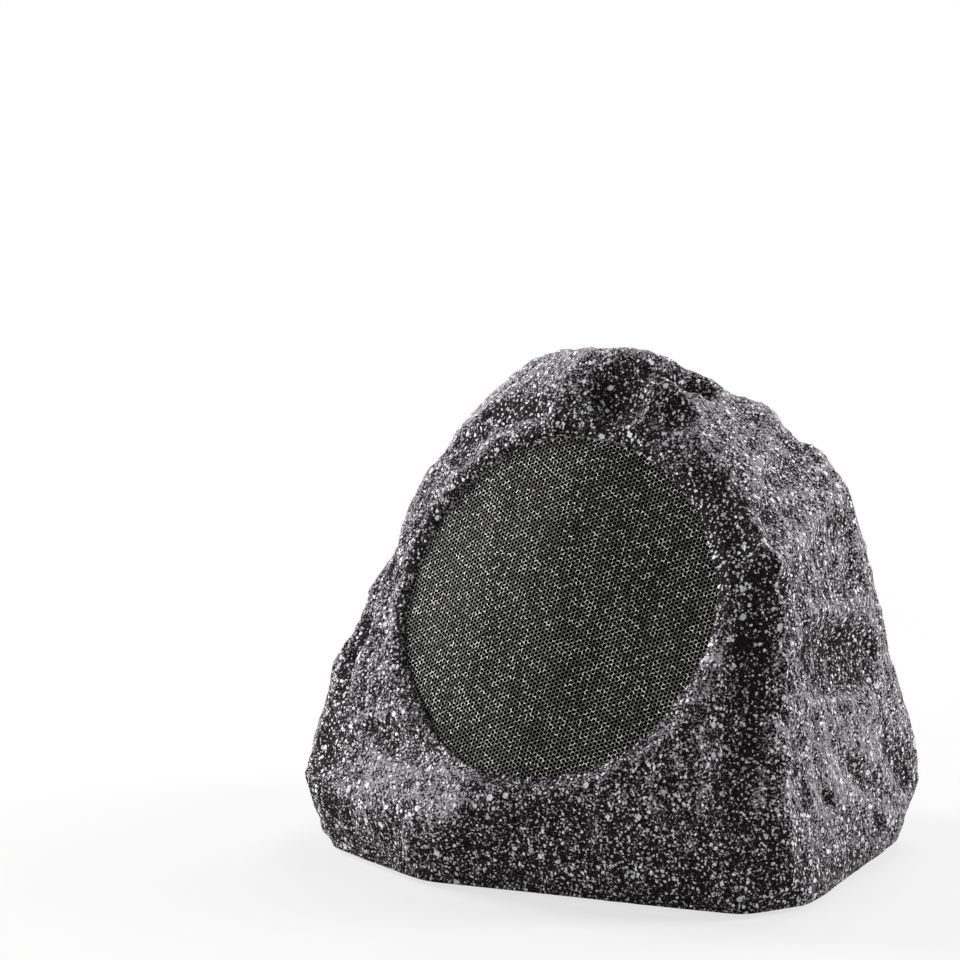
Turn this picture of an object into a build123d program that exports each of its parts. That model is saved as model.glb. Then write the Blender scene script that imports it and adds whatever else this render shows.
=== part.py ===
from build123d import *

import os
from math import cos, hypot, radians, sin, tan

# Rock shaped garden speaker: a hollow moulded rock with a round perforated grille let into its
# leaning front, a coaxial two-way driver behind it, and a screwed-on base plate with rubber feet.
# Millimetres, +Z up, the front faces -Y, the feet stand on z = 0.

os.makedirs("parts", exist_ok=True)

# Rock: flat facets trim a block. Each facet gives the way it faces (degrees from the front towards
# +X), its tilt above level (degrees) and its distance from the hub.
hub_x = 2.5
hub_height = 90
rock_facets = {
    "front": (0, 28, 68.3),
    "front_left": (-22, 27, 74),
    "front_foot": (3, -8, 106),
    "front_left_foot": (-28, -10, 127),
    "front_right_foot": (48, -10, 146),
    "left_front": (-66, 15, 129),
    "left_top": (-66, 46, 125),
    "left_foot": (-66, -16, 155.5),
    "left": (-100, 15, 117),
    "left_back_foot": (-100, -18, 140),
    "right_front": (28, 17, 96),
    "right_upper": (64, 46, 118.2),
    "right": (80.8, 10.3, 112.4),
    "right_back": (112, 14, 132.5),
    "right_foot": (86, -14, 144),
    "shoulder": (108, 56, 138.5),
    "top": (0, 86, 147.5),
    "top_left": (-45, 48, 114.5),
    "back": (180, 22, 76),
    "back_foot": (180, -12, 109.5),
    "back_left": (-138, 18, 104),
    "back_right": (145, 18, 111),
    "back_left_foot": (-138, -15, 135),
    "back_right_foot": (145, -15, 137),
    "back_top": (170, 50, 121),
}
edge_round = 9
wall = 5
rim_height = 2

# Round dents in the rock: facet, place on it (across, up), half width and depth.
rock_dents = [
    ("front_left", -66, 75, 15, 5),
    ("front_left", -92, -81, 16, 3.5),
    ("front", 7, 107, 15, 6),
    ("front", 38, 105, 12, 5),
    ("right_upper", 61, 31, 11, 4),
    ("back", 34, -30, 26, 5),
    ("back", -46, 22, 24, 5),
    ("back", 30, 52, 20, 4),
    ("back_left", 26, 25, 19, 4),
    ("back_right", -48, 36, 15, 3.5),
    ("left", 40, 18, 18, 4),
]

# Long troughs in the rock: facet, place on it (across, up), half length, half width, depth and lean
# from upright (degrees).
rock_troughs = [
    ("right_front", 48, -20, 75, 16, 5, -8),
    ("right", 24, -10, 38, 19, 6.5, 83),
    ("right", 23, -66, 26, 9, 3.5, 50),
    ("right", 57, -66, 28, 10, 3.5, 30),
    ("right_upper", 21, 77, 20, 11, 5, 49),
    ("front_left", -42, -71, 32, 10, 3, 83),
    ("back", -18, -42, 34, 16, 4, 65),
    ("back", -6, 94, 26, 13, 3.5, 80),
    ("back_left", 28, -42, 32, 15, 4, -10),
    ("back_right", -52, -22, 32, 13, 4, 10),
    ("left", 10, -35, 38, 15, 4, -14),
]

# Grille: its centre on the rock's front, the way it faces, and its perforated sheet.
grille_centre = (-9.5, -56, 128.5)
grille_turn = -11
grille_tilt = 27
grille_radius = 83.5
grille_sink = 3
grille_sheet = 1.2
grille_bend_radius = 170
pocket_clearance = 0.5
pocket_depth = 30
hole_radius = 3.4
hole_pitch = 14.5
hole_edge_margin = 5
scrim_thickness = 0.8
scrim_gap = 0.3

# Driver: heights are along its axis from the baffle's front face, outwards positive.
baffle_thickness = 8
driver_gasket_thickness = 1.5
flange_radius = 70
flange_thickness = 3
basket_throat_radius = 60
cutout_clearance = 1
basket_wall = 2
basket_depth = 30
basket_floor_radius = 38
window_count = 6
window_width = 22
spider_height = 6.5
spider_thickness = 0.6
spider_wave = 1.6
spider_waves = 4
pole_radius = 12
former_gap = 0.6
former_thickness = 0.4
former_length = 24
winding_thickness = 0.7
winding_length = 12
plate_gap = 0.7
plate_inset = 1
plate_thickness = 5
magnet_overhang = 1
magnet_bore = 21
magnet_thickness = 14
cone_radius = 46.5
cone_thickness = 0.8
cone_lip = 2.5
surround_radius = 4.5
surround_thickness = 0.8
surround_lip = 3
glue_gap = 0.2
tweeter_post_radius = 5
tweeter_radius = 15
tweeter_height = 8
tweeter_lift = 26
tweeter_wall = 1.5
tweeter_face_radius = 17.5
tweeter_face_thickness = 2
dome_radius = 9.5
dome_height = 3.5
dome_thickness = 0.6
lug_width = 20
lug_reach = 12
terminal_length = 16
terminal_width = 8
terminal_thickness = 1.6
tab_length = 7
tab_width = 2.8
tab_thickness = 0.8
tab_spacing = 8

# Screws: shank and head, and the clearances of their holes.
screw_radius = 1.6
screw_head_radius = 3.5
screw_head_height = 2.2
screw_hole_clearance = 0.5
screw_pilot_clearance = 0.2
driver_screw_circle = 65.5
driver_screw_count = 4
driver_screw_length = 11

# Base: plate, gasket and the flange inside the rock's rim that they close against.
foot_height = 8
foot_radius = 10
foot_stem_radius = 3
foot_stem_clearance = 0.3
foot_headings = (-58, 54, 128, -126)
plate_edge_gap = 1
base_thickness = 4
base_gasket_thickness = 1.5
base_flange_width = 14
base_flange_thickness = 4
boss_radius = 5.5
boss_height = 14
base_screw_length = 15
base_screw_headings = (-35, 42, 85, 140, -140, -92)
notch_width = 44
notch_top_width = 34
notch_height = 9
grommet_y = 58
grommet_bore = 3
grommet_neck = 7
grommet_neck_clearance = 0.3
grommet_lip = 2.5
grommet_lip_height = 2.5

# Crossover board on the base plate.
board_length = 84
board_width = 56
board_thickness = 1.6
board_x = 4
board_y = -8
standoff_height = 8
standoff_radius = 4
standoff_inset = 5
board_screw_length = 7
coil_radius = 15
coil_bore = 7
coil_height = 16
capacitor_radius = 8
capacitor_length = 30
resistor_length = 24
resistor_side = 9
block_length = 22
block_width = 12
block_height = 12
part_seat_gap = 0.2
part_screw_gap = 0.5
part_spacing = 3
part_edge_margin = 4

# Worked-out places.
far = 400
hub = Vector(hub_x, 0, hub_height)
plate_low = foot_height
plate_high = plate_low + base_thickness
flange_low = plate_high + base_gasket_thickness
flange_high = flange_low + base_flange_thickness
pocket_radius = grille_radius + pocket_clearance
cutout_radius = basket_throat_radius + cutout_clearance


# The unit direction that faces a given way, turned from the front and tilted above level.
def facing(turn, tilt):
    level = cos(radians(tilt))
    return Vector(sin(radians(turn)) * level, -cos(radians(turn)) * level, sin(radians(tilt)))


# The plane of a facet, its x running level and its z pointing out of the rock.
def facet_plane(turn, tilt, reach):
    out = facing(turn, tilt)
    level = Vector(cos(radians(turn)), sin(radians(turn)), 0)
    return Plane(origin=hub + out * reach, x_dir=level, z_dir=out)


# The rock's facets moved in by a wall, between two heights.
def rock_body(inset, low, high=far):
    with BuildPart() as body:
        Box(2 * far, 2 * far, 2 * far)
        for turn, tilt, reach in rock_facets.values():
            split(bisect_by=facet_plane(turn, tilt, reach - inset), keep=Keep.BOTTOM)
        split(bisect_by=Plane.XY.offset(low), keep=Keep.TOP)
        split(bisect_by=Plane.XY.offset(high), keep=Keep.BOTTOM)
    return body.part


# Radius of the curve that is so deep over a half width.
def sag_radius(half_width, depth):
    return (half_width**2 + depth**2) / (2 * depth)


# Hollows the body being built with balls for dents and rings for troughs, grown by a wall for the
# cavity's sake.
def hollow_out(growth):
    for facet, across, up, half_width, depth in rock_dents:
        radius = sag_radius(half_width, depth)
        seat = facet_plane(*rock_facets[facet])
        with Locations(seat.from_local_coords((across, up, radius - depth))):
            Sphere(radius + growth, mode=Mode.SUBTRACT)
    for facet, across, up, half_length, half_width, depth, lean in rock_troughs:
        long_radius = sag_radius(half_length, depth)
        cross_radius = sag_radius(half_width, depth)
        seat = facet_plane(*rock_facets[facet])
        along = seat.y_dir.rotate(Axis((0, 0, 0), seat.z_dir), lean)
        ring = Plane(
            origin=seat.from_local_coords((across, up, long_radius - depth)),
            x_dir=seat.z_dir,
            z_dir=seat.z_dir.cross(along),
        )
        with Locations(ring):
            Torus(long_radius - cross_radius, cross_radius + growth, mode=Mode.SUBTRACT)


# The level place on a given heading from the hub, a given distance inside the nearest facet.
def rim_place(heading, inset, height):
    radius = min(
        (reach - inset - sin(radians(tilt)) * (height - hub_height))
        / (cos(radians(tilt)) * cos(radians(turn - heading)))
        for turn, tilt, reach in rock_facets.values()
        if cos(radians(turn - heading)) > sin(radians(abs(tilt) / 2))
    )
    return (hub_x + radius * sin(radians(heading)), -radius * cos(radians(heading)))


# Where the base plate is screwed up to the rock, and where its feet stand inside the flange.
base_screw_inset = wall + base_flange_width / 2
base_screw_places = [rim_place(heading, base_screw_inset, flange_low) for heading in base_screw_headings]
foot_inset = wall + base_flange_width + foot_radius
foot_places = [rim_place(heading, foot_inset, plate_low) for heading in foot_headings]

# Axis of the driver and grille, from the middle of the baffle's front face outwards.
driver_out = facing(grille_turn, grille_tilt)
driver_plane = Plane(
    origin=Vector(*grille_centre) - driver_out * pocket_depth,
    x_dir=(cos(radians(grille_turn)), sin(radians(grille_turn)), 0),
    z_dir=driver_out,
)
driver_axis = Axis(driver_plane.origin, driver_plane.z_dir)

# Half section of the driver: x is the radius, y the height above the baffle.
driver_section = Plane(
    origin=driver_plane.origin,
    x_dir=driver_plane.x_dir,
    z_dir=driver_plane.x_dir.cross(driver_plane.z_dir),
)


# A plain ring about the driver's axis, between two heights.
def driver_ring(bore, rim, low, high):
    with BuildPart() as ring:
        with BuildSketch(driver_plane.offset(low)):
            Circle(rim)
            Circle(bore, mode=Mode.SUBTRACT)
        extrude(amount=high - low)
    return ring.part


# The solid behind the two front facets, sunk below them and rounded along their shared edge.
def front_block(sink, bend_radius):
    right_face = facing(*rock_facets["front"][:2])
    left_face = facing(*rock_facets["front_left"][:2])
    right_reach = rock_facets["front"][2]
    left_reach = rock_facets["front_left"][2]
    edge = right_face.cross(left_face)
    foot = left_face.cross(edge) * right_reach + edge.cross(right_face) * left_reach
    edge_plane = Plane(
        origin=hub + foot / edge.length**2,
        x_dir=right_face.cross(edge),
        z_dir=-edge,
    )
    turn = radians(right_face.get_angle(left_face))
    corner = (sink * tan(turn / 2), sink)
    left_end = (corner[0] - far * cos(turn), corner[1] + far * sin(turn))
    with BuildPart() as block:
        with BuildSketch(edge_plane):
            with BuildLine():
                Polyline((far, sink), corner, left_end, (left_end[0], far), (far, far), close=True)
            make_face()
            fillet(vertices().sort_by_distance(corner)[0], bend_radius)
        extrude(amount=far, both=True)
    return block.part


# Rock shell: rounded outside, thin wall, sunk baffle for the driver and a flange for the base.
with BuildPart() as rock_outer:
    add(rock_body(edge_round, -far / 4))
    offset(amount=edge_round, kind=Kind.ARC)
    split(bisect_by=Plane.XY.offset(rim_height), keep=Keep.TOP)
    hollow_out(0)

with BuildPart() as cavity:
    add(rock_body(wall, -far / 4))
    hollow_out(wall)

with BuildPart() as baffle:
    with BuildSketch(driver_plane.offset(-baffle_thickness)):
        Circle(pocket_radius + wall)
    extrude(amount=far)
    add(rock_outer.part, mode=Mode.INTERSECT)

with BuildPart() as base_flange:
    add(rock_body(wall / 2, flange_low, flange_high))
    add(rock_body(wall + base_flange_width, flange_low, flange_high), mode=Mode.SUBTRACT)
    with BuildSketch(Plane.XY.offset(flange_low)):
        with Locations(*base_screw_places):
            Circle(boss_radius)
    extrude(amount=boss_height)

with BuildPart() as rock_shell:
    add(rock_outer.part)
    add(cavity.part, mode=Mode.SUBTRACT)
    add(baffle.part)
    add(base_flange.part)
    with BuildSketch(driver_plane):
        Circle(pocket_radius)
    extrude(amount=far, mode=Mode.SUBTRACT)
    with BuildSketch(driver_plane):
        Circle(cutout_radius)
        with PolarLocations(driver_screw_circle, driver_screw_count, start_angle=45):
            Circle(screw_radius + screw_pilot_clearance)
    extrude(amount=-2 * baffle_thickness, mode=Mode.SUBTRACT)
    with BuildSketch(Plane.XY.offset(flange_low)):
        with Locations(*base_screw_places):
            Circle(screw_radius + screw_pilot_clearance)
    extrude(amount=base_screw_length, mode=Mode.SUBTRACT)
    with BuildSketch(Plane.XZ.offset(-grommet_y)):
        with BuildLine():
            Polyline(
                (-notch_width / 2, 0),
                (-notch_width / 2, rim_height),
                (-notch_top_width / 2, rim_height + notch_height),
                (notch_top_width / 2, rim_height + notch_height),
                (notch_width / 2, rim_height),
                (notch_width / 2, 0),
                close=True,
            )
        make_face()
    extrude(amount=-far, mode=Mode.SUBTRACT)
rock_shell.part.label = "rock_shell"
export_step(rock_shell.part, "parts/rock_shell.step")

# Grille: a perforated cap bent along the rock's front edge, its skirt standing on the baffle.
row_pitch = hole_pitch * cos(radians(30))
hole_limit = grille_radius - grille_sheet - hole_edge_margin - hole_radius
row_count = int(hole_limit / row_pitch)
column_count = int(hole_limit / hole_pitch) + 1
hole_places = [
    (hole_pitch * (column + 0.5 * (row % 2)), row_pitch * row)
    for row in range(-row_count, row_count + 1)
    for column in range(-column_count, column_count + 1)
    if hypot(hole_pitch * (column + 0.5 * (row % 2)), row_pitch * row) < hole_limit
]

with BuildPart() as grille_hollow:
    with BuildSketch(driver_plane):
        Circle(grille_radius - grille_sheet)
    extrude(amount=far)
    add(
        front_block(grille_sink + grille_sheet, grille_bend_radius - grille_sheet),
        mode=Mode.INTERSECT,
    )

with BuildPart() as speaker_grille:
    with BuildSketch(driver_plane):
        Circle(grille_radius)
    extrude(amount=far)
    add(front_block(grille_sink, grille_bend_radius), mode=Mode.INTERSECT)
    add(grille_hollow.part, mode=Mode.SUBTRACT)
    with BuildSketch(driver_plane):
        with Locations(*hole_places):
            Circle(hole_radius)
    extrude(amount=far, mode=Mode.SUBTRACT)
speaker_grille.part.label = "speaker_grille"
export_step(speaker_grille.part, "parts/speaker_grille.step")

# Scrim: dust cloth close behind the perforated sheet.
scrim_front = grille_sheet + scrim_gap
scrim_back = scrim_front + scrim_thickness
with BuildPart() as grille_scrim:
    with BuildSketch(driver_plane):
        Circle(grille_radius - scrim_front)
    extrude(amount=far)
    add(
        front_block(grille_sink + scrim_front, grille_bend_radius - scrim_front),
        mode=Mode.INTERSECT,
    )
    add(
        front_block(grille_sink + scrim_back, grille_bend_radius - scrim_back),
        mode=Mode.SUBTRACT,
    )
grille_scrim.part.label = "grille_scrim"
export_step(grille_scrim.part, "parts/grille_scrim.step")

# Heights of the driver's stack, from the baffle.
flange_rear = driver_gasket_thickness
flange_front = flange_rear + flange_thickness
basket_rear = flange_rear - basket_depth
basket_floor = basket_rear + basket_wall
spider_seat = basket_floor + spider_height
top_plate_rear = basket_rear - plate_thickness
magnet_rear = top_plate_rear - magnet_thickness
yoke_rear = magnet_rear - plate_thickness
gap_middle = basket_rear - plate_thickness / 2
plate_radius = basket_floor_radius - plate_inset
magnet_radius = plate_radius + magnet_overhang
former_bore = pole_radius + former_gap
former_rim = former_bore + former_thickness
winding_bore = former_rim + glue_gap
winding_rim = winding_bore + winding_thickness
plate_bore = winding_rim + plate_gap
former_low = gap_middle - winding_length / 2
former_high = former_low + former_length
roll_middle = cone_radius + surround_radius + glue_gap
flange_bore = roll_middle + surround_radius + glue_gap

# Basket: flange, spoked cone, spider seat and a lug for the terminals.
with BuildPart() as driver_basket:
    with BuildSketch(driver_section):
        with BuildLine():
            Polyline(
                (flange_radius, flange_rear),
                (flange_radius, flange_front),
                (flange_bore, flange_front),
                (basket_throat_radius - 2 * basket_wall, flange_rear),
                (basket_floor_radius - basket_wall, basket_floor),
                (basket_floor_radius - 2 * basket_wall, basket_floor),
                (basket_floor_radius - 2 * basket_wall, spider_seat),
                (basket_floor_radius - 4 * basket_wall, spider_seat),
                (basket_floor_radius - 4 * basket_wall, basket_floor),
                (plate_bore, basket_floor),
                (plate_bore, basket_rear),
                (basket_floor_radius, basket_rear),
                (basket_throat_radius, flange_rear),
                close=True,
            )
        make_face()
    revolve(axis=driver_axis)
    with BuildSketch(driver_plane.offset(basket_floor)):
        with PolarLocations((basket_floor_radius + basket_throat_radius) / 2, window_count):
            Rectangle(basket_throat_radius - basket_floor_radius + basket_wall, window_width)
    extrude(amount=flange_rear - basket_floor - basket_wall, mode=Mode.SUBTRACT)
    with BuildSketch(driver_plane.offset(basket_rear)):
        with Locations((0, -basket_floor_radius - lug_reach / 2)):
            Rectangle(lug_width, lug_reach + 2 * basket_wall)
    extrude(amount=basket_wall)
    with BuildSketch(driver_plane.offset(flange_rear)):
        with PolarLocations(driver_screw_circle, driver_screw_count, start_angle=45):
            Circle(screw_radius + screw_hole_clearance)
    extrude(amount=flange_thickness, mode=Mode.SUBTRACT)
driver_basket.part.label = "driver_basket"
export_step(driver_basket.part, "parts/driver_basket.step")

with BuildPart() as driver_gasket:
    with BuildSketch(driver_plane):
        Circle(flange_radius)
        Circle(cutout_radius, mode=Mode.SUBTRACT)
        with PolarLocations(driver_screw_circle, driver_screw_count, start_angle=45):
            Circle(screw_radius + screw_hole_clearance, mode=Mode.SUBTRACT)
    extrude(amount=driver_gasket_thickness)
driver_gasket.part.label = "driver_gasket"
export_step(driver_gasket.part, "parts/driver_gasket.step")

with BuildPart() as driver_screws:
    with BuildSketch(driver_plane.offset(flange_front)):
        with PolarLocations(driver_screw_circle, driver_screw_count, start_angle=45):
            Circle(screw_head_radius)
    extrude(amount=screw_head_height)
    with BuildSketch(driver_plane.offset(flange_front)):
        with PolarLocations(driver_screw_circle, driver_screw_count, start_angle=45):
            Circle(screw_radius)
    extrude(amount=-driver_screw_length)
driver_screws.part.label = "driver_screws"
export_step(driver_screws.part, "parts/driver_screws.step")

# Terminal strip under the lug, with two solder tabs.
with BuildPart() as driver_terminals:
    with BuildSketch(driver_plane.offset(basket_rear)):
        with Locations((0, -basket_floor_radius - lug_reach / 2)):
            Rectangle(terminal_length, terminal_width)
    extrude(amount=-terminal_thickness)
    with BuildSketch(driver_plane.offset(basket_rear - terminal_thickness)):
        with Locations((0, -basket_floor_radius - lug_reach / 2)):
            with GridLocations(tab_spacing, 0, 2, 1):
                Rectangle(tab_width, tab_thickness)
    extrude(amount=-tab_length)
driver_terminals.part.label = "driver_terminals"
export_step(driver_terminals.part, "parts/driver_terminals.step")

# Motor: top plate, ring magnet, and the yoke with its pole.
with BuildPart() as top_plate:
    add(driver_ring(plate_bore, plate_radius, top_plate_rear, basket_rear))
top_plate.part.label = "top_plate"
export_step(top_plate.part, "parts/top_plate.step")

with BuildPart() as ring_magnet:
    add(driver_ring(magnet_bore, magnet_radius, magnet_rear, top_plate_rear))
ring_magnet.part.label = "ring_magnet"
export_step(ring_magnet.part, "parts/ring_magnet.step")

with BuildPart() as pole_yoke:
    with BuildSketch(driver_plane.offset(yoke_rear)):
        Circle(plate_radius)
    extrude(amount=plate_thickness)
    with BuildSketch(driver_plane.offset(magnet_rear)):
        Circle(pole_radius)
    extrude(amount=basket_rear - magnet_rear)
    with BuildSketch(driver_plane.offset(yoke_rear)):
        Circle(tweeter_post_radius / 2)
    extrude(amount=basket_rear - yoke_rear, mode=Mode.SUBTRACT)
pole_yoke.part.label = "pole_yoke"
export_step(pole_yoke.part, "parts/pole_yoke.step")

# Moving parts: coil former, winding and paper cone.
with BuildPart() as voice_coil_former:
    add(driver_ring(former_bore, former_rim, former_low, former_high))
voice_coil_former.part.label = "voice_coil_former"
export_step(voice_coil_former.part, "parts/voice_coil_former.step")

with BuildPart() as voice_coil_winding:
    add(driver_ring(winding_bore, winding_rim, former_low, former_low + winding_length))
voice_coil_winding.part.label = "voice_coil_winding"
export_step(voice_coil_winding.part, "parts/voice_coil_winding.step")

cone_neck = former_rim + glue_gap
cone_edge = flange_front - glue_gap
with BuildPart() as woofer_cone:
    with BuildSketch(driver_section):
        with BuildLine():
            Polyline(
                (cone_neck, former_high - cone_lip),
                (cone_neck, former_high),
                (cone_radius - cone_lip, cone_edge),
                (cone_radius, cone_edge),
                (cone_radius, cone_edge - cone_thickness),
                (cone_radius - cone_lip + cone_thickness / 2, cone_edge - cone_thickness),
                (cone_neck + cone_thickness, former_high - cone_thickness),
                (cone_neck + cone_thickness, former_high - cone_lip),
                close=True,
            )
        make_face()
    revolve(axis=driver_axis)
woofer_cone.part.label = "woofer_cone"
export_step(woofer_cone.part, "parts/woofer_cone.step")

# Suspension: half-roll surround at the cone's edge and a corrugated spider at its neck.
roll_seat = flange_front + glue_gap
with BuildPart() as woofer_surround:
    with BuildSketch(driver_section):
        with Locations((roll_middle, roll_seat)):
            Circle(surround_radius)
            Circle(surround_radius - surround_thickness, mode=Mode.SUBTRACT)
            Rectangle(
                4 * surround_radius,
                2 * surround_radius,
                align=(Align.CENTER, Align.MAX),
                mode=Mode.SUBTRACT,
            )
            for side in (-1, 1):
                with Locations((side * (surround_radius - surround_thickness), 0)):
                    Rectangle(
                        surround_lip + surround_thickness,
                        surround_thickness,
                        align=(Align.MAX if side < 0 else Align.MIN, Align.MIN),
                    )
    revolve(axis=driver_axis)
woofer_surround.part.label = "woofer_surround"
export_step(woofer_surround.part, "parts/woofer_surround.step")

spider_bore = former_rim + former_gap
spider_rim = basket_floor_radius - 2 * basket_wall
spider_lip = 2 * basket_wall
spider_low = spider_seat + glue_gap
wave_step = (spider_rim - spider_lip - spider_bore) / (2 * spider_waves)
wave_line = [
    (spider_bore + wave_step * step, spider_low + spider_wave * (step % 2))
    for step in range(2 * spider_waves + 1)
]
with BuildPart() as woofer_spider:
    with BuildSketch(driver_section):
        with BuildLine():
            Polyline(
                *wave_line,
                (spider_rim, spider_low),
                (spider_rim, spider_low + spider_thickness),
                *[(radius, height + spider_thickness) for radius, height in reversed(wave_line)],
                close=True,
            )
        make_face()
    revolve(axis=driver_axis)
woofer_spider.part.label = "woofer_spider"
export_step(woofer_spider.part, "parts/woofer_spider.step")

# Tweeter on a post that stands on the pole, through the open middle of the cone.
tweeter_low = basket_rear + tweeter_lift
tweeter_high = tweeter_low + tweeter_height
with BuildPart() as tweeter_post:
    with BuildSketch(driver_plane.offset(basket_rear)):
        Circle(tweeter_post_radius)
    extrude(amount=tweeter_lift)
tweeter_post.part.label = "tweeter_post"
export_step(tweeter_post.part, "parts/tweeter_post.step")

with BuildPart() as tweeter_housing:
    with BuildSketch(driver_plane.offset(tweeter_low)):
        Circle(tweeter_radius)
    extrude(amount=tweeter_height)
    with BuildSketch(driver_plane.offset(tweeter_low + tweeter_wall)):
        Circle(tweeter_radius - tweeter_wall)
    extrude(amount=tweeter_height, mode=Mode.SUBTRACT)
tweeter_housing.part.label = "tweeter_housing"
export_step(tweeter_housing.part, "parts/tweeter_housing.step")

with BuildPart() as tweeter_magnet:
    with BuildSketch(driver_plane.offset(tweeter_low + tweeter_wall)):
        Circle(tweeter_radius - tweeter_wall - former_gap)
    extrude(amount=tweeter_height - tweeter_wall)
tweeter_magnet.part.label = "tweeter_magnet"
export_step(tweeter_magnet.part, "parts/tweeter_magnet.step")

with BuildPart() as tweeter_faceplate:
    add(
        driver_ring(
            dome_radius + former_gap,
            tweeter_face_radius,
            tweeter_high,
            tweeter_high + tweeter_face_thickness,
        )
    )
    chamfer(edges().group_by(driver_axis)[-1].sort_by(SortBy.LENGTH)[-1], tweeter_face_thickness / 2)
tweeter_faceplate.part.label = "tweeter_faceplate"
export_step(tweeter_faceplate.part, "parts/tweeter_faceplate.step")

dome_sphere = (dome_radius**2 + dome_height**2) / (2 * dome_height)
with BuildPart() as tweeter_dome:
    with Locations(driver_plane.offset(tweeter_high + dome_height - dome_sphere)):
        Sphere(dome_sphere)
        Sphere(dome_sphere - dome_thickness, mode=Mode.SUBTRACT)
    split(bisect_by=driver_plane.offset(tweeter_high), keep=Keep.TOP)
tweeter_dome.part.label = "tweeter_dome"
export_step(tweeter_dome.part, "parts/tweeter_dome.step")

# Base plate: follows the rock's rim inside its wall, with standoffs for the crossover board.
with BuildPart() as base_plate:
    add(rock_body(wall + plate_edge_gap, plate_low, plate_high))
    with BuildSketch(Plane.XY.offset(plate_high)):
        with Locations((board_x, board_y)):
            with GridLocations(board_length - 2 * standoff_inset, board_width - 2 * standoff_inset, 2, 2):
                Circle(standoff_radius)
    extrude(amount=standoff_height)
    with BuildSketch(Plane.XY.offset(plate_high + standoff_height)):
        with Locations((board_x, board_y)):
            with GridLocations(board_length - 2 * standoff_inset, board_width - 2 * standoff_inset, 2, 2):
                Circle(screw_radius + screw_pilot_clearance)
    extrude(amount=-standoff_height, mode=Mode.SUBTRACT)
    with BuildSketch(Plane.XY.offset(plate_low)):
        with Locations(*foot_places):
            Circle(foot_stem_radius + foot_stem_clearance)
        with Locations(*base_screw_places):
            Circle(screw_radius + screw_hole_clearance)
        with Locations((0, grommet_y)):
            Circle(grommet_neck + grommet_neck_clearance)
    extrude(amount=base_thickness, mode=Mode.SUBTRACT)
base_plate.part.label = "base_plate"
export_step(base_plate.part, "parts/base_plate.step")

with BuildPart() as base_gasket:
    add(rock_body(wall + plate_edge_gap, plate_high, flange_low))
    add(rock_body(wall + base_flange_width, plate_high, flange_low), mode=Mode.SUBTRACT)
    with BuildSketch(Plane.XY.offset(plate_high)):
        with Locations(*base_screw_places):
            Circle(screw_radius + screw_hole_clearance)
    extrude(amount=base_gasket_thickness, mode=Mode.SUBTRACT)
base_gasket.part.label = "base_gasket"
export_step(base_gasket.part, "parts/base_gasket.step")

with BuildPart() as base_screws:
    with BuildSketch(Plane.XY.offset(plate_low)):
        with Locations(*base_screw_places):
            Circle(screw_head_radius)
    extrude(amount=-screw_head_height)
    with BuildSketch(Plane.XY.offset(plate_low)):
        with Locations(*base_screw_places):
            Circle(screw_radius)
    extrude(amount=base_screw_length)
base_screws.part.label = "base_screws"
export_step(base_screws.part, "parts/base_screws.step")

with BuildPart() as rubber_feet:
    with BuildSketch(Plane.XY):
        with Locations(*foot_places):
            Circle(foot_radius)
    extrude(amount=foot_height)
    chamfer(edges().group_by(Axis.Z)[0], foot_height / 8)
    with BuildSketch(Plane.XY.offset(foot_height)):
        with Locations(*foot_places):
            Circle(foot_stem_radius)
    extrude(amount=base_thickness)
    with BuildSketch(Plane.XY.offset(plate_high)):
        with Locations(*foot_places):
            Circle(foot_stem_radius + 2 * foot_stem_clearance)
    extrude(amount=foot_stem_radius / 2)
rubber_feet.part.label = "rubber_feet"
export_step(rubber_feet.part, "parts/rubber_feet.step")

# Grommet where the speaker cable comes through the base plate.
with BuildPart() as cable_grommet:
    with BuildSketch(Plane.XY.offset(plate_low - grommet_lip_height)):
        with Locations((0, grommet_y)):
            Circle(grommet_neck + grommet_lip)
    extrude(amount=grommet_lip_height)
    with BuildSketch(Plane.XY.offset(plate_low)):
        with Locations((0, grommet_y)):
            Circle(grommet_neck)
    extrude(amount=base_thickness)
    with BuildSketch(Plane.XY.offset(plate_high)):
        with Locations((0, grommet_y)):
            Circle(grommet_neck + grommet_lip)
    extrude(amount=grommet_lip_height)
    with BuildSketch(Plane.XY):
        with Locations((0, grommet_y)):
            Circle(grommet_bore)
    extrude(amount=far, mode=Mode.SUBTRACT)
cable_grommet.part.label = "cable_grommet"
export_step(cable_grommet.part, "parts/cable_grommet.step")

# Crossover: board, air-core coil, capacitor, resistor and input terminals.
board_low = plate_high + standoff_height
board_high = board_low + board_thickness
part_row_end = board_length / 2 - standoff_inset - screw_head_radius - part_screw_gap
block_x = block_length / 2 - part_row_end
block_y = block_width / 2 + part_edge_margin - board_width / 2
coil_x = coil_radius - part_row_end
coil_y = block_y + block_width / 2 + part_spacing + coil_radius
capacitor_x = part_row_end - capacitor_length / 2
capacitor_y = board_width / 2 - part_edge_margin - capacitor_radius
resistor_x = part_row_end - resistor_length / 2
resistor_y = block_y
with BuildPart() as crossover_board:
    with BuildSketch(Plane.XY.offset(board_low)):
        with Locations((board_x, board_y)):
            Rectangle(board_length, board_width)
            with GridLocations(board_length - 2 * standoff_inset, board_width - 2 * standoff_inset, 2, 2):
                Circle(screw_radius + screw_hole_clearance, mode=Mode.SUBTRACT)
    extrude(amount=board_thickness)
crossover_board.part.label = "crossover_board"
export_step(crossover_board.part, "parts/crossover_board.step")

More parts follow.
